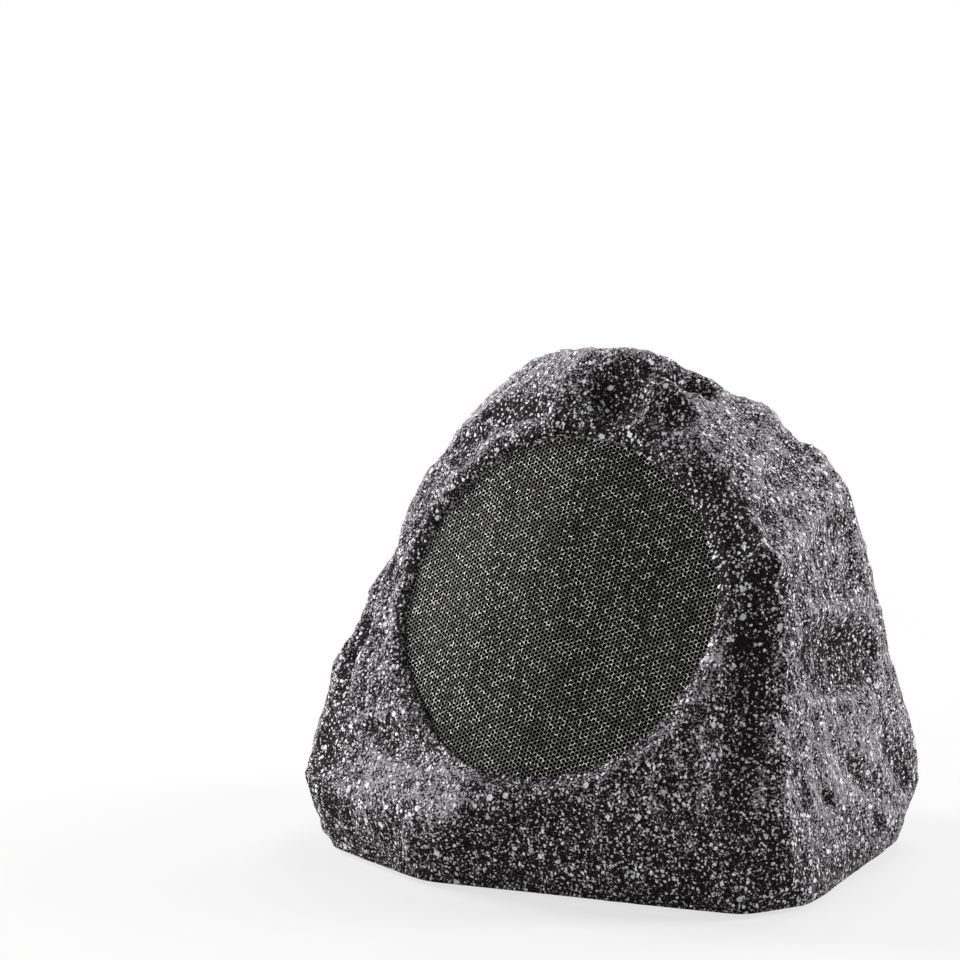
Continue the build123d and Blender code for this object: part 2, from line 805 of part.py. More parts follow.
with BuildPart() as board_screws:
    with BuildSketch(Plane.XY.offset(board_high)):
        with Locations((board_x, board_y)):
            with GridLocations(board_length - 2 * standoff_inset, board_width - 2 * standoff_inset, 2, 2):
                Circle(screw_head_radius)
    extrude(amount=screw_head_height)
    with BuildSketch(Plane.XY.offset(board_high)):
        with Locations((board_x, board_y)):
            with GridLocations(board_length - 2 * standoff_inset, board_width - 2 * standoff_inset, 2, 2):
                Circle(screw_radius)
    extrude(amount=-board_screw_length)
board_screws.part.label = "board_screws"
export_step(board_screws.part, "parts/board_screws.step")

with BuildPart() as crossover_coil:
    with BuildSketch(Plane.XY.offset(board_high)):
        with Locations((board_x + coil_x, board_y + coil_y)):
            Circle(coil_radius)
            Circle(coil_bore, mode=Mode.SUBTRACT)
    extrude(amount=coil_height)
    fillet(edges().filter_by(GeomType.CIRCLE).group_by(Axis.Z)[-1], (coil_radius - coil_bore) / 4)
crossover_coil.part.label = "crossover_coil"
export_step(crossover_coil.part, "parts/crossover_coil.step")

capacitor_height = board_high + capacitor_radius + part_seat_gap

with BuildPart() as crossover_capacitor:
    with Locations((board_x + capacitor_x, board_y + capacitor_y, capacitor_height)):
        Cylinder(capacitor_radius, capacitor_length, rotation=(0, 90, 0))
    fillet(edges().filter_by(GeomType.CIRCLE), capacitor_radius / 6)
crossover_capacitor.part.label = "crossover_capacitor"
export_step(crossover_capacitor.part, "parts/crossover_capacitor.step")

with BuildPart() as crossover_resistor:
    with BuildSketch(Plane.XY.offset(board_high)):
        with Locations((board_x + resistor_x, board_y + resistor_y)):
            Rectangle(resistor_length, resistor_side)
    extrude(amount=resistor_side)
    chamfer(edges().group_by(Axis.Z)[-1], resistor_side / 8)
crossover_resistor.part.label = "crossover_resistor"
export_step(crossover_resistor.part, "parts/crossover_resistor.step")

with BuildPart() as input_terminals:
    with BuildSketch(Plane.XY.offset(board_high)):
        with Locations((board_x + block_x, board_y + block_y)):
            Rectangle(block_length, block_width)
    extrude(amount=block_height)
    with BuildSketch(Plane.XY.offset(board_high + block_height)):
        with Locations((board_x + block_x, board_y + block_y)):
            with GridLocations(block_length / 2, 0, 2, 1):
                Circle(block_width / 4)
    extrude(amount=-block_height / 2, mode=Mode.SUBTRACT)
input_terminals.part.label = "input_terminals"
export_step(input_terminals.part, "parts/input_terminals.step")
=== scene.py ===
import itertools
import math

import bpy
import numpy as np
from mathutils import Matrix, Vector
from mathutils.geometry import delaunay_2d_cdt


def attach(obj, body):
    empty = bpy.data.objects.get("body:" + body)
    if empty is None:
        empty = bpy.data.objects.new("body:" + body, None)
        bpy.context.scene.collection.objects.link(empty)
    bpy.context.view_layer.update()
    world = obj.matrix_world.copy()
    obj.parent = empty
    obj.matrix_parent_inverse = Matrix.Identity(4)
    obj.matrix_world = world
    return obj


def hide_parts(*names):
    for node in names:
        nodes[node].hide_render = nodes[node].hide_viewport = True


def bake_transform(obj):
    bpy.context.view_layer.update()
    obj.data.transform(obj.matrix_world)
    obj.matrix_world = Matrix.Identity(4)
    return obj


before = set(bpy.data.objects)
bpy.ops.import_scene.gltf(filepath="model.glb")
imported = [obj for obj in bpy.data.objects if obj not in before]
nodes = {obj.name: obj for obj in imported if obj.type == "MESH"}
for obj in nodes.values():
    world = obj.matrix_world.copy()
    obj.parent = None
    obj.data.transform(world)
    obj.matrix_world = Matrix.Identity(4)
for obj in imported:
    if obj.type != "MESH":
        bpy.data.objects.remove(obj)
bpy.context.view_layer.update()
mm = 0.001  # shapes are worked out in millimetres, meshes are in metres
print("frame loaded:", len(nodes), "nodes")


# sRGB hex text to linear colour
def colour(hexText):
    part = np.array([int(hexText[i:i + 2], 16) for i in (1, 3, 5)]) / 255
    linear = np.where(part <= 0.04045, part / 12.92, ((part + 0.055) / 1.055) ** 2.4)
    return (*linear.tolist(), 1.0)


def unit(vectors):
    return vectors / np.linalg.norm(vectors, axis=-1, keepdims=True)


# Sets a node's inputs: numbers and colours as they are, sockets by a link
def setInputs(tree, node, inputs):
    for name, value in inputs.items():
        if isinstance(value, bpy.types.NodeSocket):
            tree.links.new(value, node.inputs[name])
        else:
            node.inputs[name].default_value = value


# Adds one shader node: settings are its own properties, inputs take numbers, colours or sockets
def addNode(tree, kind, inputs=None, **settings):
    node = tree.nodes.new("ShaderNode" + kind)
    for name, value in settings.items():
        setattr(node, name, value)
    setInputs(tree, node, inputs or {})
    return node


def mathOf(tree, operation, first, second):
    return addNode(tree, "Math", {0: first, 1: second}, operation=operation).outputs[0]


# Noise whose features are of a size in millimetres
def noiseOf(tree, place, size, detail):
    inputs = {"Vector": place, "Scale": 1 / (size * mm), "Detail": detail}
    return addNode(tree, "TexNoise", inputs).outputs["Fac"]


# A value carried from the range it has to the range it should have
def rangeOf(tree, value, given=(0.0, 1.0), wanted=(0.0, 1.0), kind="LINEAR"):
    return addNode(tree, "MapRange", {
        "Value": value, "From Min": given[0], "From Max": given[1], "To Min": wanted[0], "To Max": wanted[1],
    }, interpolation_type=kind).outputs[0]


# Mix of two colours, each of them hex text or a socket
def mixOf(tree, share, first, second):
    first, second = (colour(tint) if isinstance(tint, str) else tint for tint in (first, second))
    return addNode(tree, "Mix", {0: share, 6: first, 7: second}, data_type="RGBA").outputs[2]


def newMaterial(name):
    material = bpy.data.materials.new(name)
    material.use_nodes = True
    tree = material.node_tree
    return material, tree, tree.nodes["Principled BSDF"]


# Puts vertices in millimetres and faces into a new object at the origin
def newPiece(name, points, faces, material, smooth=True):
    mesh = bpy.data.meshes.new(name)
    mesh.from_pydata((points.reshape(-1, 3) * mm).tolist(), [], faces)
    mesh.polygons.foreach_set("use_smooth", np.full(len(mesh.polygons), smooth))
    mesh.materials.append(material)
    mesh.update()
    piece = bpy.data.objects.new(name, mesh)
    bpy.context.scene.collection.objects.link(piece)
    return piece


# Quads between neighbouring rows of a grid, closed along each row
def ringQuads(rows, columns, closed=False):
    row = np.arange(rows if closed else rows - 1)[:, None]
    column = np.arange(columns)[None, :]
    nextRow, nextColumn = (row + 1) % rows, (column + 1) % columns
    corners = (row * columns + column, row * columns + nextColumn,
               nextRow * columns + nextColumn, nextRow * columns + column)
    return np.stack([c + 0 * (row + column) for c in corners], -1).reshape(-1, 4)


# Gradient noise, about -1 to 1: seeded directions on a lattice, each dotted with the way from its
# corner to the point, blended by the fade curve 6t^5 - 15t^4 + 10t^3
def gradientNoise(points, size, seed):
    rng = np.random.default_rng(seed)
    order = rng.permutation(256)
    ways = unit(rng.normal(size=(256, 3)))
    cell = np.floor(points / size).astype(int)
    inside = points / size - cell
    fade = inside**3 * (inside * (inside * 6 - 15) + 10)
    total = np.zeros(points.shape[:-1])
    for corner in itertools.product((0, 1), repeat=3):
        at = cell + np.array(corner)
        spot = order[(order[(order[at[..., 0] & 255] + at[..., 1]) & 255] + at[..., 2]) & 255]
        weight = np.prod(np.where(np.array(corner) == 1, fade, 1 - fade), axis=-1)
        total += weight * ((inside - np.array(corner)) * ways[spot]).sum(-1)
    return 1.7 * total  # brings the sum to the range above


# Camera: same side, height and framing as the photograph
camera = {
    "azimuth": 21.0, "elevation": 12.5, "distance": 1.5,
    "aim": (0.0025, 0.0, 0.120), "aimPixel": (612, 599), "imageSide": 960, "focalPixels": 3150,
    "sensor": 36.0, "clip": (0.05, 60.0),
}
turn, lift = math.radians(camera["azimuth"]), math.radians(camera["elevation"])
aimPoint = Vector(camera["aim"])
towards = Vector((math.sin(turn) * math.cos(lift), -math.cos(turn) * math.cos(lift), math.sin(lift)))
lensData = bpy.data.cameras.new("photoCamera")
lensData.sensor_width = camera["sensor"]
lensData.lens = camera["focalPixels"] / camera["imageSide"] * camera["sensor"]
lensData.clip_start, lensData.clip_end = camera["clip"]
photoCamera = bpy.data.objects.new("photoCamera", lensData)
bpy.context.scene.collection.objects.link(photoCamera)
imageMiddle = camera["imageSide"] / 2
sightLine = Vector(((camera["aimPixel"][0] - imageMiddle) / camera["focalPixels"],
                    (imageMiddle - camera["aimPixel"][1]) / camera["focalPixels"], -1.0))
straightView = (-towards).to_track_quat("-Z", "Y")
photoCamera.rotation_mode = "QUATERNION"
aside = Vector((0, 0, -1)).rotation_difference(sightLine).inverted()
photoCamera.rotation_quaternion = straightView @ aside
photoCamera.location = aimPoint + towards * camera["distance"]
bpy.context.scene.camera = photoCamera
print("camera set")


# Rock: its facets are the moulded faces (turn from the front towards +X, tilt above level, reach
# from the hub); the rest is how the surface between them is worn and chipped
rock = {
    "hub": (2.5, 0.0, 90.0), "sharpness": 150, "footSharpness": 60, "wall": 5.0, "rimHeight": 2.0,
    # the foot's softer edges: upward part of the ways where they start, and the change until they are full
    "footStart": -0.35, "footSpan": 0.25, "footRoll": 1.8, "footRollHeight": 9.0,
    # how far the search for the surface goes up from the seat and out from the hub, and in how many halvings
    "searchHeight": 95.0, "searchRadius": 180.0, "halvings": 44,
    "columns": 520, "outerRows": 164, "innerRows": 12,
    # cable notch in the rear rim, and about how far from the hub that rim is
    "notchHalfWidth": 22.0, "notchTopHalfWidth": 17.0, "notchHeight": 9.0, "notchReach": 100.0,
    "facets": {
        "front": (0, 28, 68.3), "frontLeft": (-22, 27, 74), "frontFoot": (3, -8, 106),
        "frontLeftFoot": (-28, -10, 127), "frontRightFoot": (48, -10, 146),
        "leftFront": (-66, 15, 129), "leftTop": (-66, 46, 125), "leftFoot": (-66, -16, 155.5),
        "left": (-100, 15, 117), "leftBackFoot": (-100, -18, 140),
        "rightFront": (28, 17, 96), "rightUpper": (64, 46, 118.2), "right": (80.8, 10.3, 112.4),
        "rightBack": (112, 14, 132.5), "rightFoot": (86, -14, 144), "shoulder": (108, 56, 138.5),
        "top": (0, 86, 147.5), "topLeft": (-45, 48, 114.5), "back": (180, 22, 76),
        "backFoot": (180, -12, 109.5), "backLeft": (-138, 18, 104), "backRight": (145, 18, 111),
        "backLeftFoot": (-138, -15, 135), "backRightFoot": (145, -15, 137), "backTop": (170, 50, 121),
    },
    # hollows moulded into the facets: facet, place on it (across, up), half length, half width, depth,
    # lean from upright; their edges are worn over a short way
    "hollows": [
        ("frontLeft", -66, 75, 15, 15, 5, 0), ("frontLeft", -92, -81, 16, 16, 3.5, 0),
        ("front", 7, 107, 15, 15, 6, 0), ("front", 38, 105, 12, 12, 5, 0),
        ("rightUpper", 61, 31, 11, 11, 4, 0), ("back", 34, -30, 26, 26, 5, 0),
        ("back", -46, 22, 24, 24, 5, 0), ("back", 30, 52, 20, 20, 4, 0),
        ("backLeft", 26, 25, 19, 19, 4, 0), ("backRight", -48, 36, 15, 15, 3.5, 0),
        ("left", 40, 18, 18, 18, 4, 0), ("rightFront", 48, -20, 75, 16, 5, -8),
        ("right", 24, -10, 38, 19, 6.5, 83), ("right", 23, -66, 26, 9, 3.5, 50),
        ("right", 57, -66, 28, 10, 3.5, 30), ("rightUpper", 21, 77, 20, 11, 5, 49),
        ("frontLeft", -42, -71, 32, 10, 3, 83), ("back", -18, -42, 34, 16, 4, 65),
        ("back", -6, 94, 26, 13, 3.5, 80), ("backLeft", 28, -42, 32, 15, 4, -10),
        ("backRight", -52, -22, 32, 13, 4, 10), ("left", 10, -35, 38, 15, 4, -14),
    ],
    # wear of those edges, and how squarely a ray has to meet a facet to reach its hollows
    "hollowWear": 0.6, "leastFacing": 0.2,
    # knapped scoops: how many, tilt of each, radius of its hollow, softness of the ridges between, and
    # how far heights are drawn in, so that scoops run up and down the sides, and seed
    "scoops": [(300, 0.045, 240.0, 0.08, 0.6, 12), (1500, 0.12, 52.0, 0.05, 0.5, 13)],
    # least and greatest height of a scoop, and the percentiles that count as level
    "scoopRange": (-1.8, 0.7), "scoopLevel": 55, "reliefLevel": 72,
    # worn relief: feature size and height in millimetres, the same drawing in of heights, and seed
    "relief": [(46.0, 0.5, 1.0, 21), (10.0, 1.0, 0.5, 22), (5.0, 0.8, 0.6, 23), (2.8, 0.3, 0.6, 24)],
    # small ridges, pits and notches seen in the photograph: from, to, radius, height, edge power
    "dabs": [
        # ridge along the trough beside the grille
        ((97, -40, 156), (103, -53, 111), 4.5, 3.2, 2), ((103, -53, 111), (105, -66, 66), 4.5, 2.8, 2),
        ((98, -46, 146), (103, -40, 142), 5, -4.0, 2), ((101, -58, 121), (106, -50, 116), 4, -3.8, 2),
        ((103, -62, 92), (109, -56, 86), 6, -4.0, 2), ((103, -70, 68), (109, -66, 62), 5, -3.4, 2),
        ((84, -28, 176), (90, -22, 170), 6, -2.0, 2),
        # lip over the pocket in the right face, and the pit and grooves below it
        ((106, -28, 127), (117, 30, 121), 5, 1.8, 2), ((121, -30, 39), (121, -27, 36), 4, -6.0, 2),
        ((116, -37, 61), (121, -30, 40), 4, -2.4, 2), ((114, -56, 58), (116, -50, 38), 5, -2.2, 2),
        # ledge at the left of the foot
        ((-100, -76, 35), (-14, -101, 36), 12, 3.2, 2),
        # flat of the top shelf, notches in the wall behind it, and the steps down the shoulder
        ((12, -3, 227), (46, 11, 222), 6, -4.5, 6), ((76, 34, 200), (80, 38, 198), 6, -2.6, 4),
        ((24, 1, 237), (25, 2, 230), 3, -4.0, 2), ((35, 13, 234), (37, 11, 226), 3.5, -4.0, 2),
        ((66, 33, 208), (70, 38, 206), 9, 2.4, 2), ((56, 21, 215), (58, 18, 212), 8, -2.4, 2),
        ((95, 41, 187), (98, 46, 184), 12, 2.4, 2),
        # cleft in the upper left edge
        ((-52, -3, 205), (-58, -4, 198), 5, -3.0, 2),
        # crevice under the upper left overhang, and the swelling below it
        ((-62, 2, 205), (-32, -6, 213), 5, -5.5, 3), ((-74, -6, 188), (-66, -8, 190), 11, 3.0, 2),
        # creases down the left flank, with the ridge beside them
        ((-80, -26, 145), (-95, -28, 130), 3.5, -3.2, 2), ((-112, -34, 107), (-119, -41, 89), 3.5, -3.4, 2),
        ((-119, -41, 89), (-117, -51, 72), 3.5, -3.0, 2), ((-74, -30, 143), (-105, -37, 107), 5, 1.8, 2),
        ((-105, -37, 107), (-109, -53, 72), 5, 1.8, 2),
        # flat floor and steep walls of the pocket in the right face
        ((113, -22, 102), (121, 24, 95), 15.5, -3.0, 8), ((113, -22, 102), (121, 24, 95), 9, 2.5, 2),
    ],
    # where the lip reaches in over the grille: way about its axis, width, reach
    "overhangs": [(-137, 20, 5.0), (38, 22, 2.0), (-20, 14, 1.6)],
    "lipHeight": 1.6, "lipPlace": 4.5, "lipWidth": 3.6, "lipRound": 1.4, "lipRoundWidth": 1.6,
    "lipOverlap": 1.7, "lipWobble": 0.7, "lipWobbleSize": 9.0, "lipSeed": 25, "lipBand": 12.0,
    # calmer relief near the rim: reach and share; both it and the lip come in over a height above the seat
    "calmReach": 9.0, "calmShare": 0.75, "lipRise": 20.0,
    # relief at the ground: height it fades in over and what is left there, and how deep it may cut at the
    # foot and further up
    "groundRise": 6.0, "groundRelief": 0.35, "footDepth": 2.2, "extraDepth": 6.0,
    "footTop": 16.0, "footBlend": 18.0,
    # inside: how much further in than the wall it lies, clear of the relief's cuts, and the share of the
    # swing at its last row
    "innerSlack": 2.5, "innerEnd": 0.02,
    # the ways that faces are painted paler with the dust coat when turned to, most of them the ways the lamps
    # shine from, which paints the lamps' light into the colour, and how much each adds
    "paintedLightWays": [((0.9, 0.35, 0.3), 0.72), ((-0.9, 0.1, 0.35), 0.46), ((0, 0.2, 1), 0.30), ((0, 1, 0.1), 0.25),
              ((0, -1, 0.2), 0.15), ((-0.5, -0.7, 0.45), 0.22)],
    # places painted darker where shade falls and paler where light falls, such as the trough, crevices and
    # pocket, and the shelf, sills and crests: from, to, radius, change
    "paintedShadeAndLightTouches": [
        ((62, -30, 188), (88, -46, 140), 15, -0.50), ((-121, -52, 66), (-120, -66, 40), 15, -0.35),
        ((-62, 2, 205), (-32, -6, 213), 7, -0.50), ((56, -96, 22), (104, -78, 20), 18, -0.12),
        ((-55, 2, 216), (-25, -6, 220), 14, -0.25), ((4, -6, 226), (30, -8, 216), 16, -0.20),
        ((78, 30, 198), (86, 34, 190), 9, -0.20), ((-92, -26, 138), (-86, -14, 164), 5, -0.25),
        ((138, 20, 40), (136, 60, 40), 16, -0.12), ((24, 1, 236), (25, 2, 229), 3.5, -0.40),
        ((36, 13, 233), (37, 11, 226), 3.5, -0.40), ((12, -3, 223), (46, 10, 219), 3.5, 0.40),
        ((12, -22, 204), (56, -26, 190), 20, 0.10), ((-90, -78, 48), (-45, -96, 48), 18, 0.20),
        ((121, -20, 60), (128, 20, 55), 22, 0.26), ((113, -22, 102), (121, 24, 95), 14, -0.16),
        ((-112, -34, 107), (-118, -50, 72), 6, -0.25), ((99, -70, 68), (103, -74, 49), 3.5, 0.30),
        ((115, -72, 34), (118, -72, 12), 11, -0.26), ((120, -64, 14), (131, -5, 10), 8, -0.18),
        ((76, -53, 136), (76, -66, 111), 4, 0.16), ((76, -66, 111), (57, -83, 79), 4.5, 0.17),
    ],
    # painted shade in hollows: how much less pale coat a hollow gets for each millimetre down to the depth
    # given;
    # the share of that behind, and how far round to the back the way has to point for it
    "hollowShade": 0.05, "shadeDepth": 3.5, "shadeBehind": 0.3, "behindAt": 0.5,
    # painted light on ridges and painted shade in creases: how much more pale coat lies on ridges and less in
    # creases, which stand out by the height given from places some rows away; and how much lies inside
    "ridgeLightShare": 0.16, "ridgeHeight": 0.8, "ridgeRows": 5, "insideShare": 0.2,
}
# Seat of the driver: the baffle's front face, and its axes across, up and out
seat = {
    "origin": (-4.400, -29.761, 114.880), "across": (0.981627, -0.190809, 0.0),
    "up": (0.086625, 0.445649, 0.891007), "out": (-0.170012, -0.874636, 0.453990),
    "pocketRadius": 84.0, "cutoutRadius": 61.0, "baffleThickness": 8.0,
}
hub = np.array(rock["hub"])
seatOrigin = np.array(seat["origin"])
seatAxes = np.array([seat["across"], seat["up"], seat["out"]])
facetTable = np.array(list(rock["facets"].values()), float)
facetTurn, facetTilt = np.radians(facetTable[:, 0]), np.radians(facetTable[:, 1])
facetWays = np.stack([np.sin(facetTurn) * np.cos(facetTilt),
                      -np.cos(facetTurn) * np.cos(facetTilt), np.sin(facetTilt)], -1)


# Distance from the hub to the facets along unit ways: one over the p-norm of way·normal / reach,
# which rounds the edges where facets meet, more so at the foot
def facetReach(ways, inset=0.0):
    foot = np.clip((rock["footStart"] - ways[..., 2]) / rock["footSpan"], 0, 1)
    power = rock["sharpness"] ** (1 - foot) * rock["footSharpness"] ** foot
    pull = np.maximum(ways @ facetWays.T, 0) / (facetTable[:, 2] - inset)
    peak = pull.max(-1)
    return 1 / (peak * ((pull / peak[..., None]) ** power[..., None]).sum(-1) ** (1 / power))


# Distance from the hub to the hollowed facets: each hollow is a bowl on its facet, of height
# depth · (along² / length² + side² / width² − 1), which a ray meets at the lesser root of a quadratic
def hollowedReach(ways):
    reach, wear = facetReach(ways), rock["hollowWear"]
    for name, across, up, halfLength, halfWidth, depth, lean in rock["hollows"]:
        index = list(rock["facets"]).index(name)
        out = facetWays[index]
        sideways = np.array([math.cos(facetTurn[index]), math.sin(facetTurn[index]), 0])
        upright = np.cross(out, sideways)
        along = upright * math.cos(math.radians(lean)) - sideways * math.sin(math.radians(lean))
        axes = np.stack([along, np.cross(out, along)], -1)
        bend = depth / np.array([halfLength, halfWidth]) ** 2
        start = -(out * facetTable[index, 2] + sideways * across + upright * up)
        square = (ways @ axes) ** 2 @ bend
        linear = 2 * (ways @ axes) @ (bend * (start @ axes)) - ways @ out
        plain = bend @ (start @ axes) ** 2 - depth - start @ out
        root = linear**2 - 4 * square * plain
        met = 2 * plain / (np.sqrt(np.maximum(root, 0)) - linear)
        met = np.where((root > 0) & (ways @ out > rock["leastFacing"]), met, 2 * reach)
        reach = -wear * np.logaddexp(-reach / wear, -met / wear)
    return reach


# Point in the driver's seat from polar places about its axis
def fromSeat(angle, radius, height):
    flat = np.stack([-np.sin(angle) * radius, -np.cos(angle) * radius, height + 0 * angle], -1)
    return seatOrigin + flat @ seatAxes


# Halves the range between an inside and an outside place until both meet on the rock's surface
def meetSurface(place, low, high, inset=0.0):
    for _ in range(rock["halvings"]):
        middle = (low + high) / 2
        spoke = place(middle) - hub
        inside = np.linalg.norm(spoke, axis=-1) < facetReach(unit(spoke), inset)
        low, high = np.where(inside, middle, low), np.where(inside, high, middle)
    return place(low)


# Distance of points from a straight stretch between two ends
def stretchDistance(points, start, end):
    start, end = np.array(start, float), np.array(end, float)
    along = np.clip((points - start) @ (end - start) / ((end - start) @ (end - start)), 0, 1)
    return np.linalg.norm(points - start - along[..., None] * (end - start), axis=-1)


# Knapped scoops: the smooth least of many tilted bowls, tilt·offset + offset²/2R, about seeded centres
def scoopRelief(points, count, tilt, bowl, soft, draw, seed):
    rng = np.random.default_rng(seed)
    ways = unit(rng.normal(size=(count, 3)))
    centres = hub + ways * facetReach(ways)[:, None]
    tilts = rng.normal(scale=tilt, size=(count, 3))
    total = np.zeros(points.shape[:-1])
    for centre, lean in zip(centres, tilts):
        offset = points - centre
        bowlHeight = offset @ lean + (offset * (1, 1, draw)) ** 2 @ np.ones(3) / (2 * bowl)
        total += np.exp(-np.minimum(bowlHeight, 60 * soft) / soft)  # the limit keeps the sum above nought
    height = -soft * np.log(total + 1e-30)
    return height - np.percentile(height, rock["scoopLevel"])


# Listed hollows and ridges: height · exp(−(distance / radius)^power) about each line
def dabRelief(points):
    height = np.zeros(points.shape[:-1])
    for start, end, radius, depth, power in rock["dabs"]:
        height = height + depth * np.exp(-(stretchDistance(points, start, end) / radius) ** power)
    return height


# Height of the worn surface above the hollowed facets: scoops + noise
def rockRelief(points):
    height = sum(np.clip(scoopRelief(points, *row), *rock["scoopRange"]) for row in rock["scoops"])
    for size, depth, draw, seed in rock["relief"]:
        height = height + depth * gradientNoise(points * (1, 1, draw), size, seed)
    return height - np.percentile(height, rock["reliefLevel"])


# Outer skin: ways swing on great circles from the grille's rim to the rim at the ground, and each
# point lies at hub + way · (hollowed reach + relief)
angle = np.linspace(0, 2 * math.pi, rock["columns"], endpoint=False)
zeros = np.zeros_like(angle)
rimPoints = meetSurface(lambda height: fromSeat(angle, seat["pocketRadius"], height),
                        zeros, zeros + rock["searchHeight"])
levelWays = np.stack([-np.sin(angle), -np.cos(angle), zeros], -1)


# Rim at the ground, raised at the back over the cable notch
def groundPoints(inset):
    side = np.abs(np.sin(angle)) * rock["notchReach"]
    slope = (rock["notchHalfWidth"] - side) / (rock["notchHalfWidth"] - rock["notchTopHalfWidth"])
    notch = rock["notchHeight"] * np.clip(slope, 0, 1) * (np.cos(angle) < 0)
    drop = np.array([0, 0, 1.0]) * (rock["rimHeight"] + notch - hub[2])[:, None]
    return meetSurface(lambda radius: hub + levelWays * radius[:, None] + drop,
                       zeros, zeros + rock["searchRadius"], inset)


rimWays, groundWays = unit(rimPoints - hub), unit(groundPoints(0.0) - hub)
swing = np.arccos((rimWays * groundWays).sum(-1))[:, None]


# Ways at given shares of the swing from the grille's rim to the ground
def skinWays(share):
    share = share[:, None, None]
    return unit(np.sin((1 - share) * swing) * rimWays + np.sin(share * swing) * groundWays)


outerWays = skinWays(np.linspace(0, 1, rock["outerRows"]))
outerReach = hollowedReach(outerWays)
outerBase = hub + outerWays * outerReach[..., None]
dabs = dabRelief(outerBase)
relief = rockRelief(outerBase) + dabs
seatPlace = (outerBase - seatOrigin) @ seatAxes.T
rimGap = np.linalg.norm(seatPlace[..., :2], axis=-1) - seat["pocketRadius"]
ahead = np.clip(seatPlace[..., 2] / rock["lipRise"], 0, 1)
nearRim = np.exp(-(np.maximum(rimGap, 0) / rock["calmReach"]) ** 2) * ahead
relief = relief * (1 - rock["calmShare"] * nearRim)
relief += rock["lipHeight"] * np.exp(-((rimGap - rock["lipPlace"]) / rock["lipWidth"]) ** 2) * ahead
relief -= rock["lipRound"] * np.exp(-((rimGap / rock["lipRoundWidth"]) ** 2)) * ahead
groundFade = np.clip((outerBase[..., 2] - rock["rimHeight"]) / rock["groundRise"], 0, 1)
aboveFoot = np.clip((outerBase[..., 2] - rock["footTop"]) / rock["footBlend"], 0, 1)
relief = np.maximum(relief, -rock["footDepth"] - rock["extraDepth"] * aboveFoot)
relief *= rock["groundRelief"] + (1 - rock["groundRelief"]) * groundFade
rollShare = np.clip(1 - (outerBase[..., 2] - rock["rimHeight"]) / rock["footRollHeight"], 0, 1)
relief -= rock["footRoll"] * rollShare**2
outer = outerBase + outerWays * relief[..., None]
outer[..., 2] = np.maximum(outer[..., 2], rock["rimHeight"])
outer[-1, :, 2] = outerBase[-1, :, 2]
# near the rim the skin keeps out of the pocket, apart from its lip, which reaches in over the grille
outerSeat = (outer - seatOrigin) @ seatAxes.T
outerRadius = np.linalg.norm(outerSeat[..., :2], axis=-1)
wobble = gradientNoise(rimPoints, rock["lipWobbleSize"], rock["lipSeed"])
lipRadius = seat["pocketRadius"] - rock["lipOverlap"] + rock["lipWobble"] * wobble
rimSeat = (rimPoints - seatOrigin) @ seatAxes.T
rimAngle = np.arctan2(rimSeat[:, 1], rimSeat[:, 0])
for heading, width, overhang in rock["overhangs"]:
    apart = np.angle(np.exp(1j * (rimAngle - math.radians(heading)))) / math.radians(width)
    lipRadius -= overhang * np.exp(-(apart**2))
atLip = (outerSeat[..., 2] > 0) & (rimGap < rock["lipBand"])
wanted = np.where(atLip, np.maximum(outerRadius, lipRadius), outerRadius)
wanted[0] = lipRadius
outerSeat[..., :2] *= (wanted / outerRadius)[..., None]
outer = seatOrigin + outerSeat @ seatAxes

# Inside: the hollowed facets moved in by the wall, then the baffle's boss, its cut-out and the pocket
innerWays = skinWays(np.linspace(1, rock["innerEnd"], rock["innerRows"]))
inner = hub + innerWays * (hollowedReach(innerWays) - rock["wall"] - rock["innerSlack"])[..., None]
inner[0] = groundPoints(rock["wall"])
innerSeat = (inner - seatOrigin) @ seatAxes.T
bossRadius = seat["pocketRadius"] + rock["wall"]
innerRadius = np.linalg.norm(innerSeat[..., :2], axis=-1)
crowd = (innerSeat[..., 2] > -seat["baffleThickness"]) & (innerRadius < bossRadius)
innerSeat[..., :2] *= np.where(crowd, bossRadius / innerRadius, 1)[..., None]
inner = seatOrigin + innerSeat @ seatAxes
seatRows = np.stack([
    fromSeat(angle, bossRadius, zeros - seat["baffleThickness"]),
    fromSeat(angle, seat["cutoutRadius"], zeros - seat["baffleThickness"]),
    fromSeat(angle, seat["cutoutRadius"], zeros),
    fromSeat(angle, seat["pocketRadius"], zeros),
])
rockGrid = np.concatenate([outer, inner, seatRows])


# Signed volume of a closed mesh of quads, to tell which way its faces point
def quadVolume(points, quads):
    a, b, c, d = (points.reshape(-1, 3)[quads[:, k]] for k in range(4))
    return (np.cross(b - a, c - a) * a).sum() + (np.cross(c - a, d - a) * a).sum()


rockQuads = ringQuads(len(rockGrid), rock["columns"], closed=True)
if quadVolume(rockGrid, rockQuads) < 0:
    rockQuads = rockQuads[:, ::-1]

# Dust coat with painted light and shade in it: paler on faces turned to the lamps, on ridges and at the
# listed places, darker in hollows and creases; ridges found by how far each outer point stands proud of
# places some rows away, and faces by which way each turns
spread = rock["ridgeRows"]
around = sum(np.roll(outer, step, axis=1) for step in (-spread, spread))
above = np.concatenate([outer[:spread], outer[:-spread]])
below = np.concatenate([outer[spread:], outer[-spread:]])
proud = ((outer - (around + (above + below)) / 4) * outerWays).sum(-1)
alongRow = np.roll(outer, -1, axis=1) - np.roll(outer, 1, axis=1)
facing = unit(np.cross(alongRow, np.gradient(outer, axis=0)))
facing *= np.sign((facing * outerWays).sum(-1, keepdims=True))
